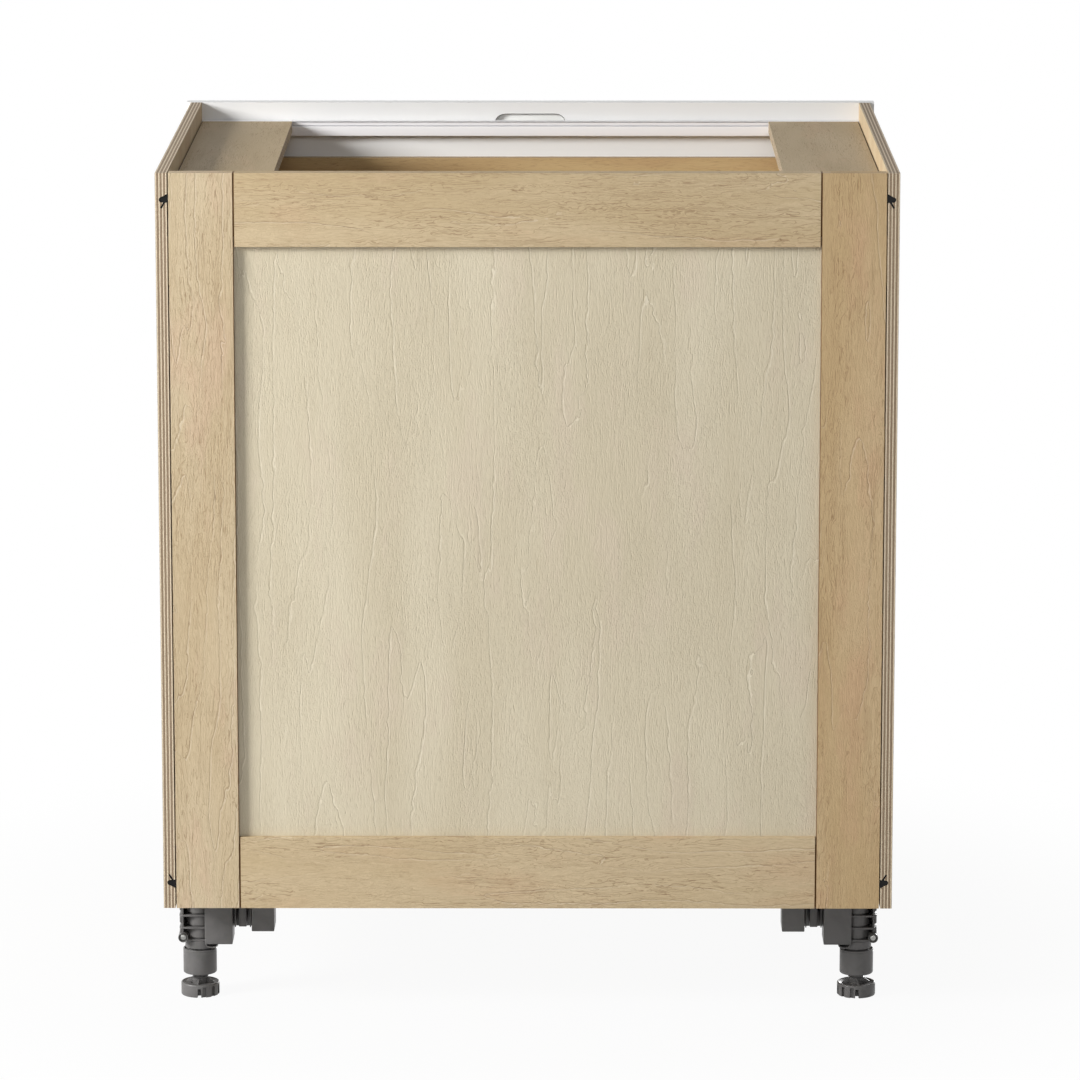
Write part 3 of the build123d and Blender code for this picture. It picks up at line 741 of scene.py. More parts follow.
@dataclass(frozen=True)
class ZincFinish:
    """Electroplated zinc over rolled or headed steel: bright, slightly blue and faintly cloudy."""

    name: str
    colour: str
    cloud: str
    roughness: float
    rolled: bool

    def material(self) -> bpy.types.Material:
        """Build the finish."""
        material, tree, surface = new_material(self.name)
        place = add_node(tree, "ShaderNodeTexCoord")
        clouds = add_node(
            tree,
            "ShaderNodeTexNoise",
            {"Vector": place.outputs["Object"], "Scale": 120.0, "Detail": 3.0, "Roughness": 0.6},
        )
        colour = add_node(
            tree,
            "ShaderNodeMix",
            {0: clouds.outputs[0], 6: linear(self.colour), 7: linear(self.cloud)},
            data_type="RGBA",
        )
        # Rolling marks 0.4 mm wide run the length of a slide; a screw's head is only cloudy
        cells = (2500.0, 12.0, 2500.0) if self.rolled else (700.0, 700.0, 700.0)
        stretched = add_node(
            tree,
            "ShaderNodeVectorMath",
            {0: place.outputs["Object"], 1: cells},
            operation="MULTIPLY",
        )
        marks = add_node(
            tree, "ShaderNodeTexNoise", {"Vector": stretched, "Scale": 1.0, "Detail": 2.0}
        )
        gloss = add_node(
            tree,
            "ShaderNodeMapRange",
            {0: marks.outputs[0], 1: 0.3, 2: 0.7, 3: self.roughness - 0.08, 4: self.roughness + 0.1},
        )
        bump = add_node(
            tree, "ShaderNodeBump", {"Height": marks.outputs[0], "Distance": 0.02 * MM, "Strength": 1.0}
        )
        tree.links.new(colour.outputs[2], surface.inputs["Base Color"])
        tree.links.new(gloss.outputs[0], surface.inputs["Roughness"])
        tree.links.new(bump.outputs[0], surface.inputs["Normal"])
        surface.inputs["Metallic"].default_value = 1.0
        return material


FRAME_FIGURE = {
    "ring_lines": 8.0,
    "ring_strength": 0.26,
    "painted_highlight_strength": 0.14,
    "speckle_strength": 0.1,
    "vein_strength": 0.34,
    "fleck_strength": 0.4,
    "fibre_strength": 0.22,
    "pore": (1.2, 22.0),
    "kink": 5.0,
    "relief": 0.28,
}
PALE_STILE_WOOD = WoodLook("D1C1A3", "C6B392", "CFB59A", "7A5A38", **FRAME_FIGURE)
WARM_STILE_WOOD = WoodLook("CCB48E", "C1A77E", "CAA886", "7A5632", **FRAME_FIGURE)
RAIL_WOOD = WoodLook(
    "CEBB99", "C2AD88", "CBB18F", "745232", **{**FRAME_FIGURE, "fleck_strength": 0.5}
)
PANEL_WOOD = WoodLook(
    "D4CAB2",
    "CCC1A8",
    "D1C3AE",
    "96805A",
    kink=5.0,
    ring_width=1.0,
    ring_strength=0.15,
    painted_highlight_strength=0.24,
    speckle_strength=0.06,
    vein_strength=0.0,
    fleck_strength=0.12,
    fibre_strength=0.1,
    line_relief=0.6,
    relief=0.4,
)
CASE_WOOD = WoodLook(
    "D3C09E", "C8B18D", "D0B493", "7A5A38", painted_highlight_strength=0.04, vein_strength=0.14, speckle_strength=0.04
)
STRETCHER_WOOD = WoodLook(
    "C4B191",
    "B29E7C",
    "C0A785",
    "74552F",
    painted_highlight_strength=0.04,
    vein_strength=0.26,
    fleck_strength=0.5,
    pore=(1.2, 20.0),
)
DRAWER_WOOD = WoodLook(
    "C4AA7E", "B3956A", "BD9F76", "745532", painted_highlight_strength=0.04, vein_strength=0.15
)
RAW_WOOD = WoodLook(
    "D8BE92", "C7A878", "D2B084", "8C6A45", painted_highlight_strength=0.04, vein_strength=0.0
)

SHOULDER = 296.05
# The left stile gets a warmer, darker colour than the right one
PALE_STILE = WoodFinish(
    "oiled_maple_pale_stile", PALE_STILE_WOOD, Grain.UPRIGHT, 0.37, joint=SHOULDER
)
WARM_STILE = WoodFinish(
    "oiled_maple_warm_stile", WARM_STILE_WOOD, Grain.UPRIGHT, 0.37, joint=SHOULDER
)
FRAME_CROSS = WoodFinish("oiled_maple_rail", RAIL_WOOD, Grain.ACROSS, 1.91, joint=SHOULDER)
PANEL_VENEER = WoodFinish("brushed_maple_veneer", PANEL_WOOD, Grain.UPRIGHT, 2.53)
BISCUIT_WOOD = WoodFinish("pressed_beech", RAW_WOOD, Grain.UPRIGHT, 4.1, 0.7)
CASE_PLY = PlyFinish(
    "birch_plywood_case", CASE_WOOD, Grain.UPRIGHT, 3.17, 7, "DCCCB2", "9A866E", "5A4634"
)
SHELF_PLY = PlyFinish(
    "birch_plywood_shelf", CASE_WOOD, Grain.ACROSS, 5.23, 7, "DCCCB2", "9A866E", "5A4634"
)
# The stretchers' line at the side panels is painted shade in the gap between the boards.
STRETCHER_PLY = PlyFinish(
    "birch_plywood_stretcher",
    STRETCHER_WOOD,
    Grain.DEPTH,
    6.71,
    7,
    "D6C6A8",
    "A3907A",
    "5E4A38",
    joint=362.65,
)
DRAWER_PLY = PlyFinish(
    "birch_plywood_drawer", DRAWER_WOOD, Grain.ACROSS, 7.93, 7, "D8C3A0", "9C8468", "5E4A38"
)
DRAWER_SIDE_PLY = PlyFinish(
    "birch_plywood_drawer_side", DRAWER_WOOD, Grain.DEPTH, 8.57, 7, "D8C3A0", "9C8468", "5E4A38"
)
# ABS or nylon in dark grey; its fine grain scatters the light, so edges read softly
LEG_PLASTIC = MouldedFinish("moulded_grey_nylon", "636160", "595856", 0.4, 0.7, 0.03, 0.4)
STRIP_PLASTIC = MouldedFinish("extruded_black_plastic", "0C0C0C", "080808", 0.6, 0.5, 0.02, 0.2)
BLOCK_PLASTIC = MouldedFinish("moulded_white_nylon", "DEDEDB", "D6D6D2", 0.45, 0.7, 0.02)
PULL_PLASTIC = PaintFinish("gloss_white_abs", "ECECE9", "E6E6E3", 0.22, 2.2, 0.01, 0.3)
FRONT_PAINT = PaintFinish("satin_white_lacquer", "E9E9E8", "E5E5E4", 0.36, 1.6, 0.02, 0.15)
RAIL_COAT = PaintFinish("white_powder_coat", "F8F7F8", "F3F2F4", 0.4, 0.9, 0.04)
SLIDE_ZINC = ZincFinish("zinc_plated_strip_steel", "C9CCCE", "B9BCBE", 0.3, True)
SCREW_ZINC = ZincFinish("zinc_plated_screw_steel", "A6A6A3", "92928F", 0.34, False)


# Hand tools for modelling


def start(kind: str, **settings: Any) -> bpy.types.Object:
    """Add a primitive with nothing else selected.

    Args:
        kind: Which primitive, such as cube or cylinder.
        settings: Its size and place.

    Returns:
        The new object.
    """
    if bpy.context.mode != "OBJECT":
        bpy.ops.object.mode_set(mode="OBJECT")
    bpy.ops.object.select_all(action="DESELECT")
    getattr(bpy.ops.mesh, f"primitive_{kind}_add")(**settings)
    return bpy.context.active_object


def pick(*pieces: bpy.types.Object) -> None:
    """Select only these objects and make the first one active."""
    bpy.ops.object.select_all(action="DESELECT")
    for piece in pieces:
        piece.select_set(True)
    bpy.context.view_layer.objects.active = pieces[0]


@contextmanager
def editing(piece: bpy.types.Object, mode: str = "FACE") -> Iterator[None]:
    """Work in edit mode on one piece, with nothing selected at first.

    Args:
        piece: The piece to edit.
        mode: VERT, EDGE or FACE.
    """
    pick(piece)
    bpy.ops.object.mode_set(mode="EDIT")
    bpy.ops.mesh.select_mode(type=mode)
    bpy.ops.mesh.select_all(action="DESELECT")
    yield
    bpy.ops.object.mode_set(mode="OBJECT")


def select(piece: bpy.types.Object, kind: str, test: Callable[[Any], bool]) -> int:
    """Select the mesh's elements that pass a test, and only those.

    Args:
        piece: The piece in edit mode.
        kind: verts, edges or faces.
        test: Says whether an element is wanted.

    Returns:
        How many were selected.
    """
    bpy.ops.mesh.select_all(action="DESELECT")
    mesh = bmesh.from_edit_mesh(piece.data)
    wanted = [element for element in getattr(mesh, kind) if test(element)]
    for element in wanted:
        element.select_set(True)
    mesh.select_flush_mode()
    bmesh.update_edit_mesh(piece.data)
    return len(wanted)


def block(low: Sequence[float], high: Sequence[float]) -> bpy.types.Object:
    """Start a rectangular piece between two corners.

    Args:
        low: One corner in millimetres.
        high: The opposite corner.

    Returns:
        The new object, with its size applied.
    """
    centre = [(a + b) / 2 * MM for a, b in zip(low, high)]
    size = [abs(b - a) * MM for a, b in zip(low, high)]
    piece = start("cube", size=1.0, location=centre)
    piece.scale = size
    bpy.ops.object.transform_apply(location=True, rotation=True, scale=True)
    return piece


def turned(profile: Profile, steps: int) -> bpy.types.Object:
    """Turn a profile about the upright axis, as on a lathe.

    Args:
        profile: Radius and height of each point in millimetres, from the axis back to it.
        steps: How many flats go round.

    Returns:
        A closed round piece on the frame's upright axis.
    """
    piece = start("plane", size=MM)
    with editing(piece, "VERT"):
        bpy.ops.mesh.select_all(action="SELECT")
        bpy.ops.mesh.merge(type="CENTER")
        first_radius, first_height = profile[0]
        bpy.ops.transform.translate(value=(first_radius * MM, 0, first_height * MM))
        for (radius, height), (next_radius, next_height) in zip(profile, profile[1:]):
            step = ((next_radius - radius) * MM, 0, (next_height - height) * MM)
            bpy.ops.mesh.extrude_vertices_move(TRANSFORM_OT_translate={"value": step})
        bpy.ops.mesh.select_all(action="SELECT")
        bpy.ops.mesh.spin(
            steps=steps, angle=FULL_TURN, center=(0.0, 0.0, 0.0), axis=(0.0, 0.0, 1.0)
        )
        bpy.ops.mesh.select_all(action="SELECT")
        bpy.ops.mesh.remove_doubles(threshold=0.002 * MM)
        bpy.ops.mesh.normals_make_consistent(inside=False)
    return piece


def apply_modifier(piece: bpy.types.Object, kind: str, **settings: Any) -> None:
    """Add a modifier to a piece and apply it.

    Args:
        piece: The piece.
        kind: Blender's name for the modifier's type.
        settings: Properties of the modifier.
    """
    pick(piece)
    modifier = piece.modifiers.new(kind.lower(), kind)
    for name, value in settings.items():
        setattr(modifier, name, value)
    bpy.ops.object.modifier_apply(modifier=modifier.name)


def soften(piece: bpy.types.Object, width: float, segments: int = 2, angle: float = 35) -> None:
    """Round the sharp edges of a piece.

    Args:
        piece: The piece.
        width: Width of the rounding in millimetres.
        segments: How many flats it has.
        angle: Edges sharper than this many degrees are rounded.
    """
    apply_modifier(
        piece,
        "BEVEL",
        width=width * MM,
        segments=segments,
        limit_method="ANGLE",
        angle_limit=math.radians(angle),
    )


def cut(piece: bpy.types.Object, cutter: bpy.types.Object) -> None:
    """Cut one piece out of another and throw the cutter away.

    Args:
        piece: The piece that stays.
        cutter: The piece that is cut out.
    """
    apply_modifier(piece, "BOOLEAN", operation="DIFFERENCE", object=cutter, solver="EXACT")
    bpy.data.objects.remove(cutter)


def joined(pieces: Sequence[bpy.types.Object]) -> bpy.types.Object:
    """Join pieces into the first one."""
    pick(*pieces)
    bpy.ops.object.join()
    return bpy.context.active_object


def copied(piece: bpy.types.Object, place: Matrix) -> bpy.types.Object:
    """Copy a piece with its own mesh to another place.

    Args:
        piece: The piece to copy.
        place: Where the copy goes, as a matrix; it may mirror.

    Returns:
        The copy, at the origin, with its place in its mesh.
    """
    copy = bpy.data.objects.new(piece.name, piece.data.copy())
    bpy.context.scene.collection.objects.link(copy)
    copy.data.transform(place)
    if place.determinant() < 0:
        copy.data.flip_normals()
    return copy


def along(origin: Sequence[float], direction: Sequence[float]) -> Matrix:
    """Place whose upright axis points along a direction.

    Args:
        origin: Place in millimetres.
        direction: Where the upright axis goes.

    Returns:
        The matrix.
    """
    turn = Vector(direction).to_track_quat("Z", "Y").to_matrix().to_4x4()
    return Matrix.Translation(Vector(origin) * MM) @ turn


@dataclass(frozen=True)
class Finished:
    """What a finished piece is called, wears and belongs to."""

    name: str
    body: str
    slot: str
    material: bpy.types.Material
    replaced: tuple[str, ...] = ()
    smooth_below: float = 35.0

    def take(self, piece: bpy.types.Object) -> bpy.types.Object:
        """Give a modelled piece its name, finish and body.

        Args:
            piece: The piece, in place.

        Returns:
            The same piece.
        """
        pick(piece)
        bpy.ops.object.transform_apply(location=True, rotation=True, scale=True)
        bpy.ops.object.shade_smooth_by_angle(angle=math.radians(self.smooth_below))
        piece.name = self.name
        piece.data.name = self.name
        piece.data.materials.clear()
        piece.data.materials.append(self.material)
        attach(piece, self.body)
        if self.replaced:
            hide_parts(*self.replaced)
        log.info("%s: %d faces on %s", self.name, len(piece.data.polygons), self.body)
        return piece


@dataclass
class Nodes:
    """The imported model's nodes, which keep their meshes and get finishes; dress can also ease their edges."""

    objects: dict[str, bpy.types.Object]

    def dress(self, name: str, material: bpy.types.Material, ease: float = 0.0) -> None:
        """Give a node its finish.

        Args:
            name: The node.
            material: Its finish.
            ease: Width in millimetres that its sharp edges are rounded by, or 0.
        """
        node = self.objects[name]
        node.data.materials.clear()
        node.data.materials.append(material)
        if ease:
            weld = node.modifiers.new("weld", "WELD")
            weld.merge_threshold = 0.003 * MM
            bevel = node.modifiers.new("ease", "BEVEL")
            bevel.width = ease * MM
            bevel.segments = 2
            bevel.limit_method = "ANGLE"
            bevel.angle_limit = math.radians(50)
        log.info("%s wears %s", name, material.name)


@dataclass
class FrontRail:
    """Powder-coated rail behind the top front, with a rolled edge and a quirk under it."""

    half_width: float = 362.45
    section: Profile = (
        (-284.9, 840.5),
        (-275.4, 840.5),
        (-274.7, 840.8),
        (-274.4, 841.5),
        (-274.4, 850.7),
        (-274.6, 851.1),
        (-280.4, 851.1),
        (-280.4, 852.2),
        (-277.0, 852.2),
        (-276.0, 855.4),
        (-282.9, 855.4),
        (-282.9, 856.5),
        (-275.9, 856.5),
        (-275.9, 856.8),
        (-284.9, 856.8),
    )

    def model(self) -> bpy.types.Object:
        """Model the rail by pulling its section along the cabinet's width."""
        rail = start("plane", size=MM)
        with editing(rail, "VERT"):
            bpy.ops.mesh.select_all(action="SELECT")
            bpy.ops.mesh.merge(type="CENTER")
            depth, height = self.section[0]
            bpy.ops.transform.translate(value=(-self.half_width * MM, depth * MM, height * MM))
            for (depth, height), (next_depth, next_height) in zip(self.section, self.section[1:]):
                step = (0, (next_depth - depth) * MM, (next_height - height) * MM)
                bpy.ops.mesh.extrude_vertices_move(TRANSFORM_OT_translate={"value": step})
            bpy.ops.mesh.select_all(action="SELECT")
            bpy.ops.mesh.edge_face_add()
            bpy.ops.mesh.extrude_region_move(
                TRANSFORM_OT_translate={"value": (2 * self.half_width * MM, 0, 0)}
            )
            bpy.ops.mesh.select_all(action="SELECT")
            bpy.ops.mesh.normals_make_consistent(inside=False)
        return rail

    def build(self) -> None:
        """Model the rail and coat it."""
        Finished(
            "coated_front_rail", "carcass", "rail_white", RAIL_COAT.material(), ("front_rail",), 25.0
        ).take(self.model())


@dataclass
class Carcass:
    """Plywood sides, bottom, stretchers and front rail."""

    nodes: Nodes

    def dress(self) -> None:
        """Finish every board and rail of the case."""
        side_low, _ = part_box("side_panel_right")
        _, side_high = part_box("side_panel_right")
        sides = CASE_PLY.material(side_low.x, side_high.x - side_low.x, Axis.X, True)
        for name in ("side_panel_left", "side_panel_right"):
            self.nodes.dress(name, sides)
        shelf_low, shelf_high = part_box("bottom_panel")
        shelf = SHELF_PLY.material(shelf_low.z, shelf_high.z - shelf_low.z, Axis.Z, False)
        self.nodes.dress("bottom_panel", shelf)
        board_low, board_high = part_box("top_stretcher_right")
        boards = STRETCHER_PLY.material(board_low.z, board_high.z - board_low.z, Axis.Z, False)
        for name in ("top_stretcher_left", "top_stretcher_right"):
            self.nodes.dress(name, boards)
        strip = STRIP_PLASTIC.material()
        for name in ("locking_tongues", "groove_plugs"):
            self.nodes.dress(name, strip)
        self.nodes.dress("front_rail_blocks", BLOCK_PLASTIC.material())


@dataclass
class BackFrame:
    """Frame-and-panel back: two stiles, two rails and the recessed panel."""

    nodes: Nodes

    def dress(self) -> None:
        """Finish the frame and its panel."""
        across = FRAME_CROSS.material()
        self.nodes.dress("back_stile_left", WARM_STILE.material())
        self.nodes.dress("back_stile_right", PALE_STILE.material())
        for name in ("back_rail_top", "back_rail_bottom"):
            self.nodes.dress(name, across)
        self.nodes.dress("back_panel", PANEL_VENEER.material())
        self.nodes.dress("back_biscuits", BISCUIT_WOOD.material())


@dataclass
class DrawerBoxes:
    """Plywood drawer boxes with their painted fronts."""

    nodes: Nodes

    def dress(self) -> None:
        """Finish the boards of each drawer."""
        paint = FRONT_PAINT.material()
        for drawer in DRAWERS:
            self.nodes.dress(f"drawer_front_{drawer}", paint)
            low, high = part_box(f"box_front_{drawer}")
            front = DRAWER_PLY.material(low.y, high.y - low.y, Axis.Y, False)
            self.nodes.dress(f"box_front_{drawer}", front)
            low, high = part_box(f"box_back_{drawer}")
            back = DRAWER_PLY.material(low.y, high.y - low.y, Axis.Y, False)
            self.nodes.dress(f"box_back_{drawer}", back)
            low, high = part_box(f"box_sides_{drawer}")
            sides = DRAWER_SIDE_PLY.material(high.x - 12 * MM, 12 * MM, Axis.X, True)
            self.nodes.dress(f"box_sides_{drawer}", sides)
            low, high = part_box(f"box_bottom_{drawer}")
            bottom = DRAWER_PLY.material(low.z, high.z - low.z, Axis.Z, False)
            self.nodes.dress(f"box_bottom_{drawer}", bottom)


@dataclass
class Pulls:
    """Flush cup pulls in the drawer fronts."""

    width: float = 77.3
    height: float = 22.7
    corner: float = 10.85
    flange: float = 4.0
    flange_thickness: float = 1.5
    depth: float = 14.0
    wall: float = 2.0
    lip_width: float = 55.6
    lip_drop: float = 2.6
    lip_setback: float = 0.35
    lip_thickness: float = 2.0
    corner_segments: int = 10
    material: bpy.types.Material = field(init=False)

    def model(self) -> bpy.types.Object:
        """Model one cup with its face on the plane through the origin, open towards -Y."""
        full_width = self.width + 2 * self.flange
        full_height = self.height + 2 * self.flange
        cup = start("plane", size=1.0, rotation=(math.pi / 2, 0, 0))
        cup.scale = (full_width * MM, full_height * MM, 1.0)
        bpy.ops.object.transform_apply(location=True, rotation=True, scale=True)
        with editing(cup, "VERT"):
            bpy.ops.mesh.select_all(action="SELECT")
            bpy.ops.mesh.bevel(
                offset=(self.corner + self.flange) * MM,
                segments=self.corner_segments,
                affect="VERTICES",
            )
            bpy.ops.mesh.select_all(action="SELECT")
            bpy.ops.mesh.extrude_region_move(
                TRANSFORM_OT_translate={"value": (0, self.flange_thickness * MM, 0)}
            )
            bpy.ops.mesh.select_all(action="SELECT")
            bpy.ops.mesh.normals_make_consistent(inside=False)
        with editing(cup, "FACE"):
            back = self.flange_thickness * MM
            select(cup, "faces", lambda face: face.normal.y > 0.9 and face.calc_center_median().y > back / 2)
            bpy.ops.mesh.inset(thickness=self.flange * MM, depth=0)
            bpy.ops.mesh.extrude_region_move(
                TRANSFORM_OT_translate={"value": (0, (self.depth - self.flange_thickness) * MM, 0)}
            )
            select(cup, "faces", lambda face: face.normal.y < -0.9 and face.calc_center_median().y < back / 2)
            bpy.ops.mesh.inset(thickness=(self.flange + self.wall) * MM, depth=0)
            bpy.ops.mesh.extrude_region_move(
                TRANSFORM_OT_translate={"value": (0, (self.depth - self.wall) * MM, 0)}
            )
        soften(cup, 0.6, 3)
        # The lip stands just behind the flange's face and is rooted in the cup's upper wall
        top = self.height / 2 - self.wall
        lip = block(
            (-self.lip_width / 2, self.lip_setback, top - self.lip_drop),
            (self.lip_width / 2, self.lip_setback + self.lip_thickness, top + 1.2),
        )
        soften(lip, 0.7, 3)
        return joined([cup, lip])

    def build(self) -> None:
        """Model the cup once and put a copy in each front."""
        self.material = PULL_PLASTIC.material()
        cup = self.model()
        for drawer in DRAWERS:
            low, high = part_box(f"drawer_pull_{drawer}")
            middle = (low + high) / 2
            piece = copied(cup, Matrix.Translation((0, low.y, middle.z)))
            name = f"drawer_pull_{drawer}"
            Finished(
                f"cup_pull_{drawer}", f"drawer_{drawer}", "pull_plastic", self.material, (name,)
            ).take(piece)
        bpy.data.objects.remove(cup)


@dataclass
class Screws:
    """Pan-head screws with a cross recess, in every place that the model gives."""

    head_radius: float = 3.6
    head_height: float = 1.6
    shank_radius: float = 1.85
    thread_depth: float = 0.35
    pitch: float = 1.8
    steps: int = 20
    inner_half_width: float = 362.65
    slide_steel: float = 1.2
    slide_places: tuple[float, ...] = (-247.4, 178.6)
    slide_length: float = 9.0
    drawer_web: float = 351.15
    front_places: tuple[float, float] = (267.95, -275.4)
    front_length: float = 25.0
    block_place: tuple[float, float, float] = (354.65, -280.4, 848.65)
    block_length: float = 16.0
    leg_screw_length: float = 10.0
    clamp_length: float = 26.0
    slide_heights: dict[str, float] = field(
        default_factory=lambda: {"top": 772.3, "middle": 503.3, "bottom": 197.3}
    )
    front_heights: dict[str, float] = field(
        default_factory=lambda: {"top": 774.3, "middle": 563.3, "bottom": 257.3}
    )

    def model(self, length: float) -> bpy.types.Object:
        """Model one screw, upright, with the underside of its head at the origin.

        Args:
            length: Length of the shank in millimetres.

        Returns:
            The screw.
        """
        dome = [
            (0.0, self.head_height),
            (1.5, self.head_height),
            (2.6, self.head_height * 0.84),
            (3.25, self.head_height * 0.56),
            (self.head_radius, self.head_height * 0.2),
            (self.head_radius, 0.0),
            (self.shank_radius, 0.0),
        ]
        root = self.shank_radius - self.thread_depth
        thread = []
        turns = int((length - 3.0) / self.pitch)
        for i in range(turns):
            z = -1.0 - i * self.pitch
            thread += [(self.shank_radius, z), (root, z - self.pitch * 0.5)]
        tip = [(root, -length + 1.6), (0.0, -length)]
        screw = turned(dome + thread + tip, self.steps)
        for turn in (0.0, math.pi / 2):
            slot = start("cube", size=1.0, location=(0, 0, self.head_height * MM), rotation=(0, 0, turn))
            slot.scale = (3.4 * MM, 0.62 * MM, 1.5 * MM)
            bpy.ops.object.transform_apply(location=True, rotation=True, scale=True)
            cut(screw, slot)
        return screw

    def put(self, name: str, body: str, places: Sequence[tuple[Matrix, float]], replaced: str) -> None:
        """Put screws in their places as one piece.

        Args:
            name: Name of the piece.
            body: Body that it rides on.
            places: Place and length of each screw.
            replaced: The node that it stands for.
        """
        patterns = {length: self.model(length) for length in sorted({size for _, size in places})}
        copies = [copied(patterns[length], place) for place, length in places]
        piece = joined(copies)
        for pattern in patterns.values():
            bpy.data.objects.remove(pattern)
        Finished(name, body, "screw_zinc", SCREW_ZINC.material(), (replaced,), 30.0).take(piece)

    def build(self) -> None:
        """Put in the case's and the drawers' screws."""
        places = []
        for side in (-1, 1):
            for drawer in DRAWERS:
                for y in self.slide_places:
                    x = side * (self.inner_half_width - self.slide_steel)
                    spot = (x, y, self.slide_heights[drawer])
                    places.append((along(spot, (-side, 0, 0)), self.slide_length))
            x, y, z = self.block_place
            places.append((along((side * x, y, z), (-side, 0, 0)), self.block_length))
        self.put("case_screws", "carcass", places, "carcass_screws")
        for drawer in DRAWERS:
            places = []
            for side in (-1, 1):
                x, y = self.front_places
                spot = (side * x, y, self.front_heights[drawer])
                places.append((along(spot, (0, 1, 0)), self.front_length))
                for slide_y in self.slide_places:
                    spot = (side * self.drawer_web, slide_y, self.slide_heights[drawer])
                    places.append((along(spot, (side, 0, 0)), self.slide_length))
            name = f"drawer_screws_{drawer}"
            self.put(f"box_screws_{drawer}", f"drawer_{drawer}", places, name)


@dataclass
class BallCages:
    """Cages and balls that run in the slides' races and travel with their middle members."""

    length: float = 118.0
    ball_pitch: float = 9.0
    strip_thickness: float = 0.5
    strip_width: float = 4.0
    side_face: float = 362.65
    outer_ball: float = 1.25
    outer_reach: float = 5.8
    outer_level: float = 19.95
    inner_ball: float = 1.8
    inner_reach: float = 7.6
    inner_level: float = 15.45
    outer_start: float = 92.0
    inner_start: float = -278.0
    heights: dict[str, float] = field(
        default_factory=lambda: {"top": 772.3, "middle": 503.3, "bottom": 197.3}
    )

    def cage(self, radius: float) -> bpy.types.Object:
        """Model one punched strip with its balls, along Y from the origin.

        Args:
            radius: Radius of the balls in millimetres.

        Returns:
            The cage.
        """
        half = self.strip_width / 2
        thickness = self.strip_thickness / 2
        strip = block((-half, 0, -thickness), (half, self.length, thickness))
        soften(strip, 0.15, 1)
        parts = [strip]
        count = int(self.length / self.ball_pitch)
        for i in range(count):
            y = (self.length - (count - 1) * self.ball_pitch) / 2 + i * self.ball_pitch
            parts.append(
                start("uv_sphere", segments=8, ring_count=6, radius=radius * MM, location=(0, y * MM, 0))
            )
            bpy.ops.object.transform_apply(location=True, rotation=True, scale=True)
        return joined(parts)

    def build(self) -> None:
        """Put the cages in each drawer's slides."""
        material = SLIDE_ZINC.material()
        outer = self.cage(self.outer_ball)
        inner = self.cage(self.inner_ball)
        for drawer in DRAWERS:
            copies = []
            for side in (-1, 1):
                for level in (-1, 1):
                    height = self.heights[drawer]
                    spot = Vector(
                        (
                            side * (self.side_face - self.outer_reach),
                            self.outer_start,
                            height + level * self.outer_level,
                        )
                    )
                    copies.append(copied(outer, Matrix.Translation(spot * MM)))
                    spot = Vector(
                        (
                            side * (self.side_face - self.inner_reach),
                            self.inner_start,
                            height + level * self.inner_level,
                        )
                    )
                    copies.append(copied(inner, Matrix.Translation(spot * MM)))
            Finished(f"ball_cages_{drawer}", f"middle_slides_{drawer}", "slide_zinc", material).take(
                joined(copies)
            )
        bpy.data.objects.remove(outer)
        bpy.data.objects.remove(inner)


@dataclass
class Slides:
    """Telescopic slides: three members each, with the ball cages between them."""

    nodes: Nodes

    def dress(self) -> None:
        """Finish the members."""
        zinc = SLIDE_ZINC.material()
        for drawer in DRAWERS:
            for member in ("cabinet_rails", "middle_rails", "drawer_rails"):
                self.nodes.dress(f"{member}_{drawer}", zinc)


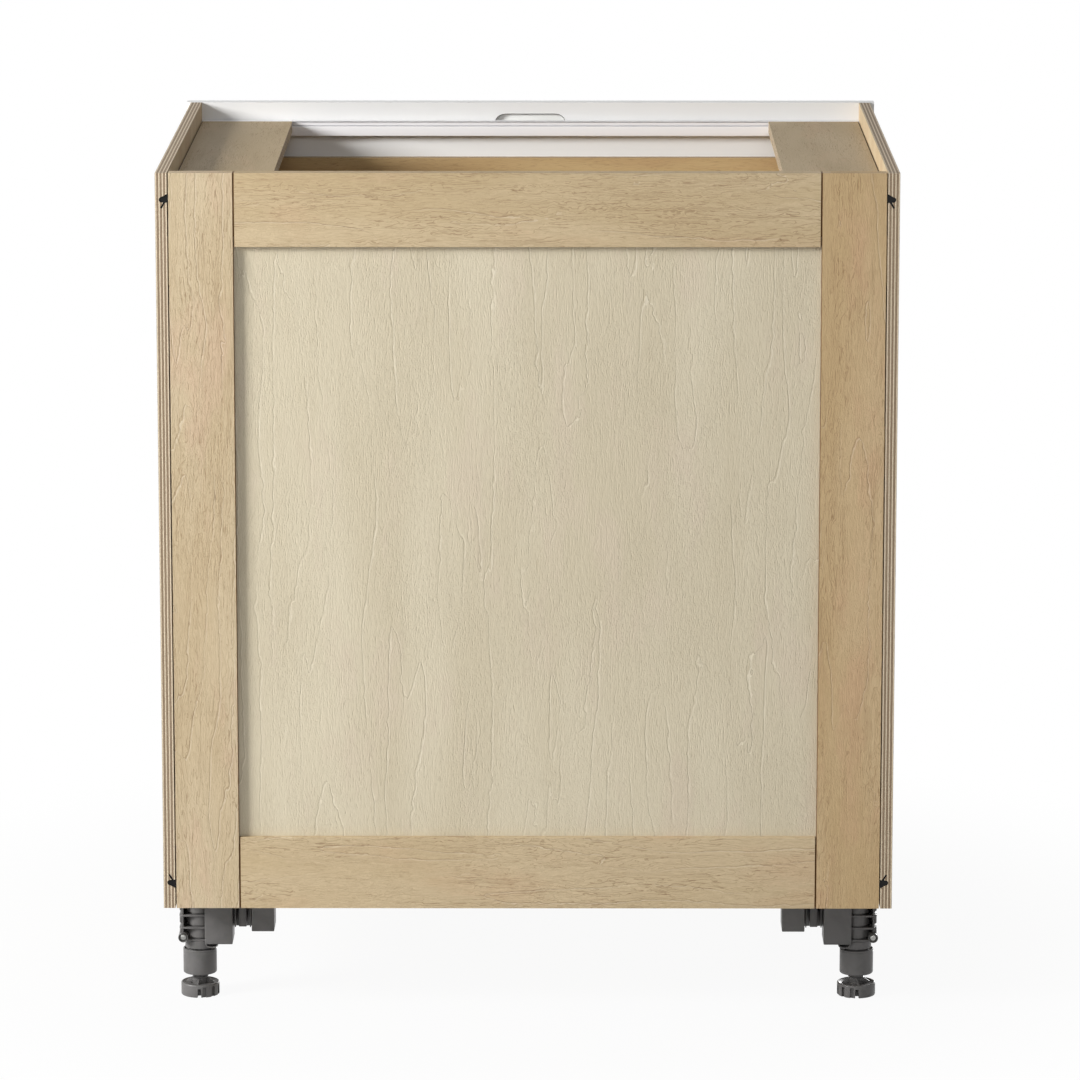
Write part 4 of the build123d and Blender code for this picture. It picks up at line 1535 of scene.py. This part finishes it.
@dataclass
class LevellingLegs:
    """Moulded brackets, tubes and screw feet under the cabinet."""

    nodes: Nodes
    axis_x: float = 343.3
    axis_y: float = 211.65
    middle_y: float = 9.75
    steps: int = 56
    tube_profile: Profile = (
        (0.0, 90.0),
        (8.8, 90.0),
        (8.8, 34.4),
        (9.2, 34.0),
        (14.8, 34.0),
        (15.2, 33.6),
        (15.2, 23.9),
        (15.5, 23.6),
        (16.7, 23.8),
        (17.3, 24.4),
        (17.5, 25.2),
        (17.5, 47.6),
        (17.3, 47.8),
        (17.3, 48.2),
        (17.5, 48.4),
        (17.5, 49.4),
        (17.0, 50.0),
        (16.4, 50.0),
        (16.1, 49.7),
        (16.1, 48.6),
        (12.2, 48.6),
        (12.2, 51.4),
        (15.1, 51.4),
        (15.4, 51.7),
        (15.4, 59.2),
        (14.8, 60.0),
        (11.0, 60.0),
        (11.0, 119.2),
        (10.2, 120.0),
        (0.0, 120.0),
    )
    foot_profile: Profile = (
        (0.0, 0.0),
        (18.9, 0.0),
        (19.7, 0.4),
        (20.0, 1.2),
        (20.0, 12.3),
        (19.7, 13.1),
        (19.0, 13.6),
        (18.4, 13.6),
        (17.9, 13.3),
        (10.6, 12.7),
        (10.1, 12.2),
        (9.9, 5.4),
        (9.5, 5.0),
        (7.7, 5.0),
        (7.7, 60.8),
        (6.6, 62.0),
        (0.0, 62.0),
    )
    thread_root: float = 7.6
    thread_crest: float = 8.45
    thread_pitch: float = 3.0
    thread_start: float = 14.2
    thread_turns: int = 15
    notch_width: float = 3.6
    notch_depth: float = 10.0
    notch_height: float = 9.5
    flute_width: float = 4.2
    flute_depth: float = 2.6
    flute_height: float = 11.4
    flute_first: float = 15.6
    flute_pitch: float = 30.0
    flute_count: int = 5
    rib_thickness: float = 1.9
    rib_top: float = 18.6
    rib_turn: float = -8.0
    plate: tuple[float, float, float] = (-78.8, 18.5, 28.0)
    plate_under: float = 131.3
    plate_top: float = 133.8
    body: tuple[float, float, float, float] = (-35.3, -6.3, 20.0, 58.0)
    pad: tuple[float, float, float, float] = (-78.8, -55.3, 20.0, 72.0)
    wall: float = 2.5
    link: tuple[float, ...] = (-56.0, -34.6, -27.5, -24.5, 66.5)
    core: tuple[float, ...] = (-49.3, -41.3, -25.0, 6.0, 73.5)
    pleats: tuple[float, ...] = (-53.4, -37.6)
    socket_radius: float = 13.5
    socket_bore: float = 11.15
    socket_bottom: float = 60.0
    bore_top: float = 120.15
    rib_reach: float = 20.4
    rib_half_depth: float = 15.0
    rib_heights: tuple[float, ...] = (60.0, 73.2, 86.4, 99.6)
    plate_rib: float = 2.0
    quirk_depth: float = 1.5
    quirk_height: float = 1.6
    web: tuple[float, float, float] = (16.0, 17.9, 14.0)
    shell_wall: float = 2.0
    lug_height: float = 6.9
    ear_radius: float = 5.2
    ear_bore: float = 4.6
    ear_rim: float = 17.6
    tab: tuple[float, float, float] = (6.6, 4.0, 12.0)
    tab_wall: float = 1.0
    clamp_place: tuple[float, float, float] = (16.4, 15.5, 64.6)

    def thread(self) -> bpy.types.Object:
        """Model the spindle's thread as a ridge that climbs round it."""
        ridge = start("plane", size=MM)
        base = self.thread_root - 0.4
        outline = [
            (base, 0.0),
            (self.thread_root, 0.0),
            (self.thread_crest, 0.75),
            (self.thread_crest, 1.35),
            (self.thread_root, 2.1),
            (base, 2.1),
        ]
        with editing(ridge, "VERT"):
            bpy.ops.mesh.select_all(action="SELECT")
            bpy.ops.mesh.merge(type="CENTER")
            bpy.ops.transform.translate(value=(outline[0][0] * MM, 0, self.thread_start * MM))
            for (radius, height), (next_radius, next_height) in zip(outline, outline[1:]):
                step = ((next_radius - radius) * MM, 0, (next_height - height) * MM)
                bpy.ops.mesh.extrude_vertices_move(TRANSFORM_OT_translate={"value": step})
            bpy.ops.mesh.select_all(action="SELECT")
            bpy.ops.mesh.edge_face_add()
            bpy.ops.mesh.delete(type="ONLY_FACE")
        apply_modifier(
            ridge,
            "SCREW",
            angle=FULL_TURN,
            screw_offset=self.thread_pitch * MM,
            iterations=self.thread_turns,
            steps=28,
            render_steps=28,
            use_merge_vertices=True,
            merge_threshold=0.001 * MM,
        )
        with editing(ridge, "EDGE"):
            bpy.ops.mesh.select_all(action="SELECT")
            bpy.ops.mesh.fill_holes(sides=12)
            bpy.ops.mesh.select_all(action="SELECT")
            bpy.ops.mesh.normals_make_consistent(inside=False)
        return ridge

    def foot(self) -> bpy.types.Object:
        """Model one foot on the upright axis, with its notch towards +Y and flutes towards -X."""
        disc = turned(self.foot_profile, self.steps)
        for i in range(self.flute_count):
            angle = math.radians(self.flute_first + i * self.flute_pitch)
            half = self.flute_width / 2
            flute = block((-half, 20 - self.flute_depth, -2), (half, 23, self.flute_height))
            with editing(flute, "EDGE"):
                select(
                    flute,
                    "edges",
                    lambda edge: abs(edge.verts[0].co.x - edge.verts[1].co.x) < 0.1 * MM
                    and min(vert.co.z for vert in edge.verts) > 5 * MM,
                )
                bpy.ops.mesh.bevel(offset=2.0 * MM, segments=5)
            flute.data.transform(Matrix.Rotation(angle, 4, "Z"))
            cut(disc, flute)
        half = self.notch_width / 2
        notch = block((-half, 20 - self.notch_depth, -1), (half, 22, self.notch_height))
        cut(disc, notch)
        splay = start(
            "cylinder",
            vertices=4,
            radius=4.2 * MM,
            depth=8 * MM,
            location=(0, 20 * MM, -1.6 * MM),
            rotation=(math.pi / 2, 0, 0),
        )
        bpy.ops.object.transform_apply(location=True, rotation=True, scale=True)
        cut(disc, splay)
        parts = [disc, self.thread()]
        for i in range(4):
            angle = math.pi / 2 * i + math.radians(self.rib_turn)
            half_rib = self.rib_thickness / 2
            rib = block((-half_rib, 7.0, 4.6), (half_rib, 14.9, self.rib_top))
            with editing(rib, "VERT"):
                select(
                    rib,
                    "verts",
                    lambda vert: vert.co.y > 12 * MM and vert.co.z > 11 * MM,
                )
                bpy.ops.transform.translate(value=(0, 0, (13.4 - self.rib_top) * MM))
            soften(rib, 0.25, 2)
            rib.data.transform(Matrix.Rotation(angle, 4, "Z"))
            parts.append(rib)
        return joined(parts)

    def box(self, span: Sequence[float], low: float, high: float) -> bpy.types.Object:
        """Start an upright block of the bracket.

        Args:
            span: Its two ends along X and half its depth along Y, in millimetres.
            low: Height of its underside.
            high: Height of its top.

        Returns:
            The block.
        """
        near, far, half = span[:3]
        return block((near, -half, low), (far, half, high))

    def hollow(self, span: Sequence[float], inner_end: float) -> bpy.types.Object:
        """Model a moulded box that is open below.

        Args:
            span: Ends along X, half depth and height of the underside.
            inner_end: End of its pocket along X, on the side of the leg.

        Returns:
            The box, with rounded edges.
        """
        near, far, half, low = span
        shell = self.box(span, low, self.plate_under)
        pocket = self.box((near + self.wall, inner_end, half - self.wall), low - 5, self.plate_under - 2)
        cut(shell, pocket)
        soften(shell, 0.9, 3)
        return shell

    def bracket(self) -> bpy.types.Object:
        """Model one bracket on the upright axis, with its ear's screw towards +Y and body to -X."""
        plate = self.box(self.plate, self.plate_under, self.plate_top)
        with editing(plate, "EDGE"):
            select(plate, "edges", lambda edge: abs(edge.verts[0].co.z - edge.verts[1].co.z) > MM)
            bpy.ops.mesh.bevel(offset=5 * MM, segments=5)
        soften(plate, 0.5, 2)
        body = self.hollow(self.body, -self.socket_radius)
        room = start(
            "cylinder", vertices=48, radius=12.4 * MM, depth=80 * MM, location=(0, 0, 78 * MM)
        )
        bpy.ops.object.transform_apply(location=True, rotation=True, scale=True)
        cut(body, room)
        parts = [plate, body, self.hollow(self.pad, self.pad[1] - self.wall)]
        for near, far, back, front, low in (self.link, self.core):
            rib = block((near, back, low), (far, front, self.plate_under))
            soften(rib, 0.5, 2)
            parts.append(rib)
        for place in self.pleats:
            pleat = block((place - 0.6, -25.0, 73.5), (place + 0.6, 8.0, self.plate_under))
            soften(pleat, 0.3, 2)
            parts.append(pleat)
        bore = self.socket_bore
        radius = self.socket_radius
        low = self.socket_bottom
        profile = [
            (0.0, self.bore_top),
            (bore, self.bore_top),
            (bore, low + 0.6),
            (bore + 0.5, low),
            (radius - 0.5, low),
            (radius, low + 0.5),
        ]
        # A dark quirk runs round the socket above each rib
        for height in self.rib_heights:
            floor = height + self.plate_rib
            quirk = radius - self.quirk_depth
            profile += [(radius, floor), (quirk, floor), (quirk, floor + self.quirk_height)]
            profile.append((radius, floor + self.quirk_height))
        profile += [(radius, self.plate_under), (0.0, self.plate_under)]
        parts.append(turned(profile, self.steps))
        parts += self.shell()
        for height in self.rib_heights:
            rib = self.box((self.body[1] - 1, self.rib_reach, self.rib_half_depth), height, height + self.plate_rib)
            with editing(rib, "EDGE"):
                select(
                    rib,
                    "edges",
                    lambda edge: abs(edge.verts[0].co.z - edge.verts[1].co.z) > MM
                    and edge.verts[0].co.x > 0,
                )
                bpy.ops.mesh.bevel(offset=4 * MM, segments=5)
            hole = start(
                "cylinder", vertices=48, radius=12.4 * MM, depth=10 * MM, location=(0, 0, height * MM)
            )
            cut(rib, hole)
            soften(rib, 0.35, 2)
            parts.append(rib)
        web = self.box(self.web, low, self.plate_under)
        soften(web, 0.4, 2)
        parts.append(web)
        parts += [self.ear(), self.hook()]
        return joined(parts)

    def ear(self) -> bpy.types.Object:
        """Model the ear that the clamp screw draws together, with a rim round the screw's head."""
        reach, half_length, height = self.clamp_place
        profile = [
            (0.0, half_length),
            (self.ear_bore, half_length),
            (self.ear_bore, self.ear_rim - 0.3),
            (self.ear_bore + 0.3, self.ear_rim),
            (self.ear_radius - 0.4, self.ear_rim),
            (self.ear_radius, self.ear_rim - 0.4),
            (self.ear_radius, -half_length + 0.4),
            (self.ear_radius - 0.4, -half_length),
            (0.0, -half_length),
        ]
        ear = turned(profile, 32)
        ear.data.transform(along((reach, 0, height), (0, 1, 0)))
        return ear

    def shell(self) -> list[bpy.types.Object]:
        """Model the wall behind the windows and the lugs that hang outside the web."""
        wall = block(
            (0, -self.rib_half_depth + 1, self.socket_bottom),
            (self.rib_reach - 0.3, -self.rib_half_depth + 1 + self.shell_wall, self.plate_under),
        )
        soften(wall, 0.4, 2)
        parts = [wall]
        for height in self.rib_heights[1:]:
            lug = block(
                (self.web[1] - 0.5, -self.rib_half_depth + 2, height - self.lug_height),
                (self.rib_reach - 0.3, self.web[2] - 0.6, height + 0.5),
            )
            soften(lug, 0.9, 3)
            parts.append(lug)
        return parts

    def hook(self) -> bpy.types.Object:
        """Model the hollow half-round tab under the bracket's body."""
        half_width, drop, thickness = self.tab
        near, far, outer, low = self.body
        middle = far - half_width - 0.7
        tab = start(
            "cylinder",
            vertices=40,
            radius=MM,
            depth=thickness * MM,
            location=(middle * MM, (outer - thickness / 2) * MM, low * MM),
            rotation=(math.pi / 2, 0, 0),
        )
        tab.scale = (half_width, drop, 1.0)
        bpy.ops.object.transform_apply(location=True, rotation=True, scale=True)
        pocket = start(
            "cylinder",
            vertices=40,
            radius=MM,
            depth=thickness * MM,
            location=(middle * MM, (outer - thickness / 2 + self.tab_wall) * MM, low * MM),
            rotation=(math.pi / 2, 0, 0),
        )
        pocket.scale = (half_width - self.tab_wall, drop - self.tab_wall, 1.0)
        bpy.ops.object.transform_apply(location=True, rotation=True, scale=True)
        cut(tab, pocket)
        above = block((near, outer - 16, low + 1.5), (far + 20, outer + 6, low + 9))
        cut(tab, above)
        soften(tab, 0.2, 2)
        return tab

    def corner_place(self, side: int, end: int) -> Matrix:
        """Place of one corner's leg, mirrored so that the notch faces out and flutes inboard."""
        spot = (side * self.axis_x * MM, (self.middle_y + end * self.axis_y) * MM, 0)
        return Matrix.Translation(spot) @ Matrix.Diagonal((side, end, 1, 1))

    def build(self) -> None:
        """Model the tubes, feet and screws and finish the brackets."""
        plastic = LEG_PLASTIC.material()
        bracket = self.bracket()
        brackets = [copied(bracket, self.corner_place(*corner)) for corner in CORNERS.values()]
        bpy.data.objects.remove(bracket)
        Finished("bracket_mouldings", "carcass", "leg_plastic", plastic, ("leg_brackets",)).take(
            joined(brackets)
        )
        tube = turned(self.tube_profile, self.steps)
        tubes = [copied(tube, self.corner_place(*corner)) for corner in CORNERS.values()]
        bpy.data.objects.remove(tube)
        Finished("levelling_tubes", "carcass", "leg_plastic", plastic, ("leg_tubes",)).take(
            joined(tubes)
        )
        foot = self.foot()
        for name, corner in CORNERS.items():
            piece = copied(foot, self.corner_place(*corner))
            Finished(
                f"screw_foot_{name}", f"foot_{name}", "leg_plastic", plastic, (f"foot_{name}",)
            ).take(piece)
        bpy.data.objects.remove(foot)
        self.put_screws()

    def put_screws(self) -> None:
        """Put in the brackets' wood screws and their clamp screws."""
        screws = Screws()
        places = []
        for side, end in CORNERS.values():
            x = side * self.axis_x
            y = self.middle_y + end * self.axis_y
            for across, sideways in ((-12.5, -22.0), (-12.5, 22.0), (67.05, 0.0)):
                spot = (x - side * across, y + sideways, 131.3)
                places.append((along(spot, (0, 0, -1)), screws.leg_screw_length))
            reach, out, height = self.clamp_place
            spot = (x + side * reach, y + end * out, height)
            places.append((along(spot, (0, end, 0)), screws.clamp_length))
        screws.put("bracket_screws", "carcass", places, "leg_screws")


@dataclass
class Studio:
    """White floor, soft lights and the photograph's camera."""

    camera_place: tuple[float, float, float] = (-0.0317, 6.1434, 1.6496)
    view_line: tuple[float, float, float] = (0.003265, -1.0, -0.19681)
    focal_length: float = 195.0
    key_place: tuple[float, float, float] = (2.85, 1.5, 1.82)
    key_target: tuple[float, float, float] = (0.0, 0.3, 0.5)
    key_size: float = 0.9
    key_power: float = 154.0
    fill_place: tuple[float, float, float] = (-0.3, 4.6, 2.7)
    fill_size: float = 2.0
    fill_power: float = 31.0
    low_place: tuple[float, float, float] = (0.9, 4.3, 0.3)
    low_size: float = 1.2
    low_power: float = 17.0
    front_place: tuple[float, float, float] = (-1.4, -3.4, 0.45)
    front_size: float = 0.9
    front_power: float = 76.0
    ambient: float = 0.17
    floor_size: float = 120.0
    shadow_share: float = 0.06
    shadow_reach: tuple[float, float] = (0.4, 0.95)

    def camera(self) -> None:
        """Put the camera where the photograph was taken from."""
        data = bpy.data.cameras.new("camera")
        data.lens = self.focal_length
        data.sensor_width = 36.0
        data.clip_end = 200.0
        camera = bpy.data.objects.new("camera", data)
        bpy.context.scene.collection.objects.link(camera)
        camera.location = self.camera_place
        camera.rotation_euler = Vector(self.view_line).to_track_quat("-Z", "Y").to_euler()
        bpy.context.scene.camera = camera

    def lamp(self, name: str, place: Sequence[float], target: Sequence[float], size: float, power: float) -> None:
        """Add one soft square lamp.

        Args:
            name: Name of the lamp.
            place: Where it stands, in metres.
            target: Where it points.
            size: Its side in metres.
            power: Its power in watts.
        """
        data = bpy.data.lights.new(name, "AREA")
        data.size = size
        data.energy = power
        lamp = bpy.data.objects.new(name, data)
        bpy.context.scene.collection.objects.link(lamp)
        lamp.location = place
        direction = Vector(target) - Vector(place)
        lamp.rotation_euler = direction.to_track_quat("-Z", "Y").to_euler()

    def world(self) -> None:
        """Light the room evenly, and show it white to the camera and to mirrors."""
        world = bpy.data.worlds.new("room")
        world.use_nodes = True
        tree = world.node_tree
        seen = self.seen_directly(tree)
        strength = add_node(
            tree, "ShaderNodeMapRange", {0: seen, 1: 0.0, 2: 1.0, 3: self.ambient, 4: 1.0}
        )
        background = tree.nodes["Background"]
        background.inputs["Color"].default_value = (1.0, 1.0, 1.0, 1.0)
        tree.links.new(strength.outputs[0], background.inputs["Strength"])
        bpy.context.scene.world = world

    def seen_directly(self, tree: bpy.types.NodeTree) -> bpy.types.NodeSocket:
        """Say whether a ray comes from the camera, straight or by way of metal or glass.

        Args:
            tree: The material's or world's node tree.

        Returns:
            Socket that is 1 for such rays and 0 for light that the surface gives to others.
        """
        path = add_node(tree, "ShaderNodeLightPath")
        mirrored = add_node(
            tree,
            "ShaderNodeMath",
            {0: path.outputs["Is Camera Ray"], 1: path.outputs["Is Glossy Ray"]},
            operation="MAXIMUM",
        )
        return add_node(
            tree,
            "ShaderNodeMath",
            {0: mirrored, 1: path.outputs["Is Transmission Ray"]},
            operation="MAXIMUM",
        ).outputs[0]

    def floor(self) -> None:
        """Lay the white floor, which keeps the object's shadow round its feet."""
        floor = start("plane", size=self.floor_size)
        floor.name = "floor"
        material = bpy.data.materials.new("white_floor")
        material.use_nodes = True
        tree = material.node_tree
        surface = tree.nodes["Principled BSDF"]
        surface.inputs["Base Color"].default_value = linear("C8C8C8")
        surface.inputs["Roughness"].default_value = 0.9
        surface.inputs["Specular IOR Level"].default_value = 0.0
        glow = add_node(tree, "ShaderNodeEmission", {"Color": (1.0, 1.0, 1.0, 1.0), "Strength": 1.0})
        seen = self.seen_directly(tree)
        place = add_node(tree, "ShaderNodeTexCoord")
        away = add_node(
            tree, "ShaderNodeVectorMath", {0: place.outputs["Object"]}, operation="LENGTH"
        )
        near, far = self.shadow_reach
        white = add_node(
            tree,
            "ShaderNodeMapRange",
            {0: away.outputs["Value"], 1: near, 2: far, 3: 1.0 - self.shadow_share, 4: 1.0},
            interpolation_type="SMOOTHSTEP",
        )
        share = add_node(tree, "ShaderNodeMath", {0: seen, 1: white}, operation="MULTIPLY")
        mixed = add_node(
            tree, "ShaderNodeMixShader", {0: share, 1: surface.outputs[0], 2: glow.outputs[0]}
        )
        tree.links.new(mixed.outputs[0], tree.nodes["Material Output"].inputs["Surface"])
        floor.data.materials.append(material)

    def build(self) -> None:
        """Set up the room."""
        bpy.context.scene.view_settings.view_transform = "Standard"
        self.camera()
        self.floor()
        self.lamp("key", self.key_place, self.key_target, self.key_size, self.key_power)
        self.lamp("fill", self.fill_place, self.key_target, self.fill_size, self.fill_power)
        self.lamp("low", self.low_place, (0.0, 0.3, 0.1), self.low_size, self.low_power)
        self.lamp("front", self.front_place, (0.0, -0.3, 0.5), self.front_size, self.front_power)
        self.world()


def main() -> None:
    """Load the frame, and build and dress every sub-assembly."""
    logging.basicConfig(level=logging.INFO, format="%(message)s")
    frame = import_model()
    nodes = Nodes(frame["nodes"])
    Studio().build()
    BackFrame(nodes).dress()
    Carcass(nodes).dress()
    FrontRail().build()
    DrawerBoxes(nodes).dress()
    Slides(nodes).dress()
    LevellingLegs(nodes).build()
    Pulls().build()
    Screws().build()
    BallCages().build()


if __name__ == "__main__":
    main()
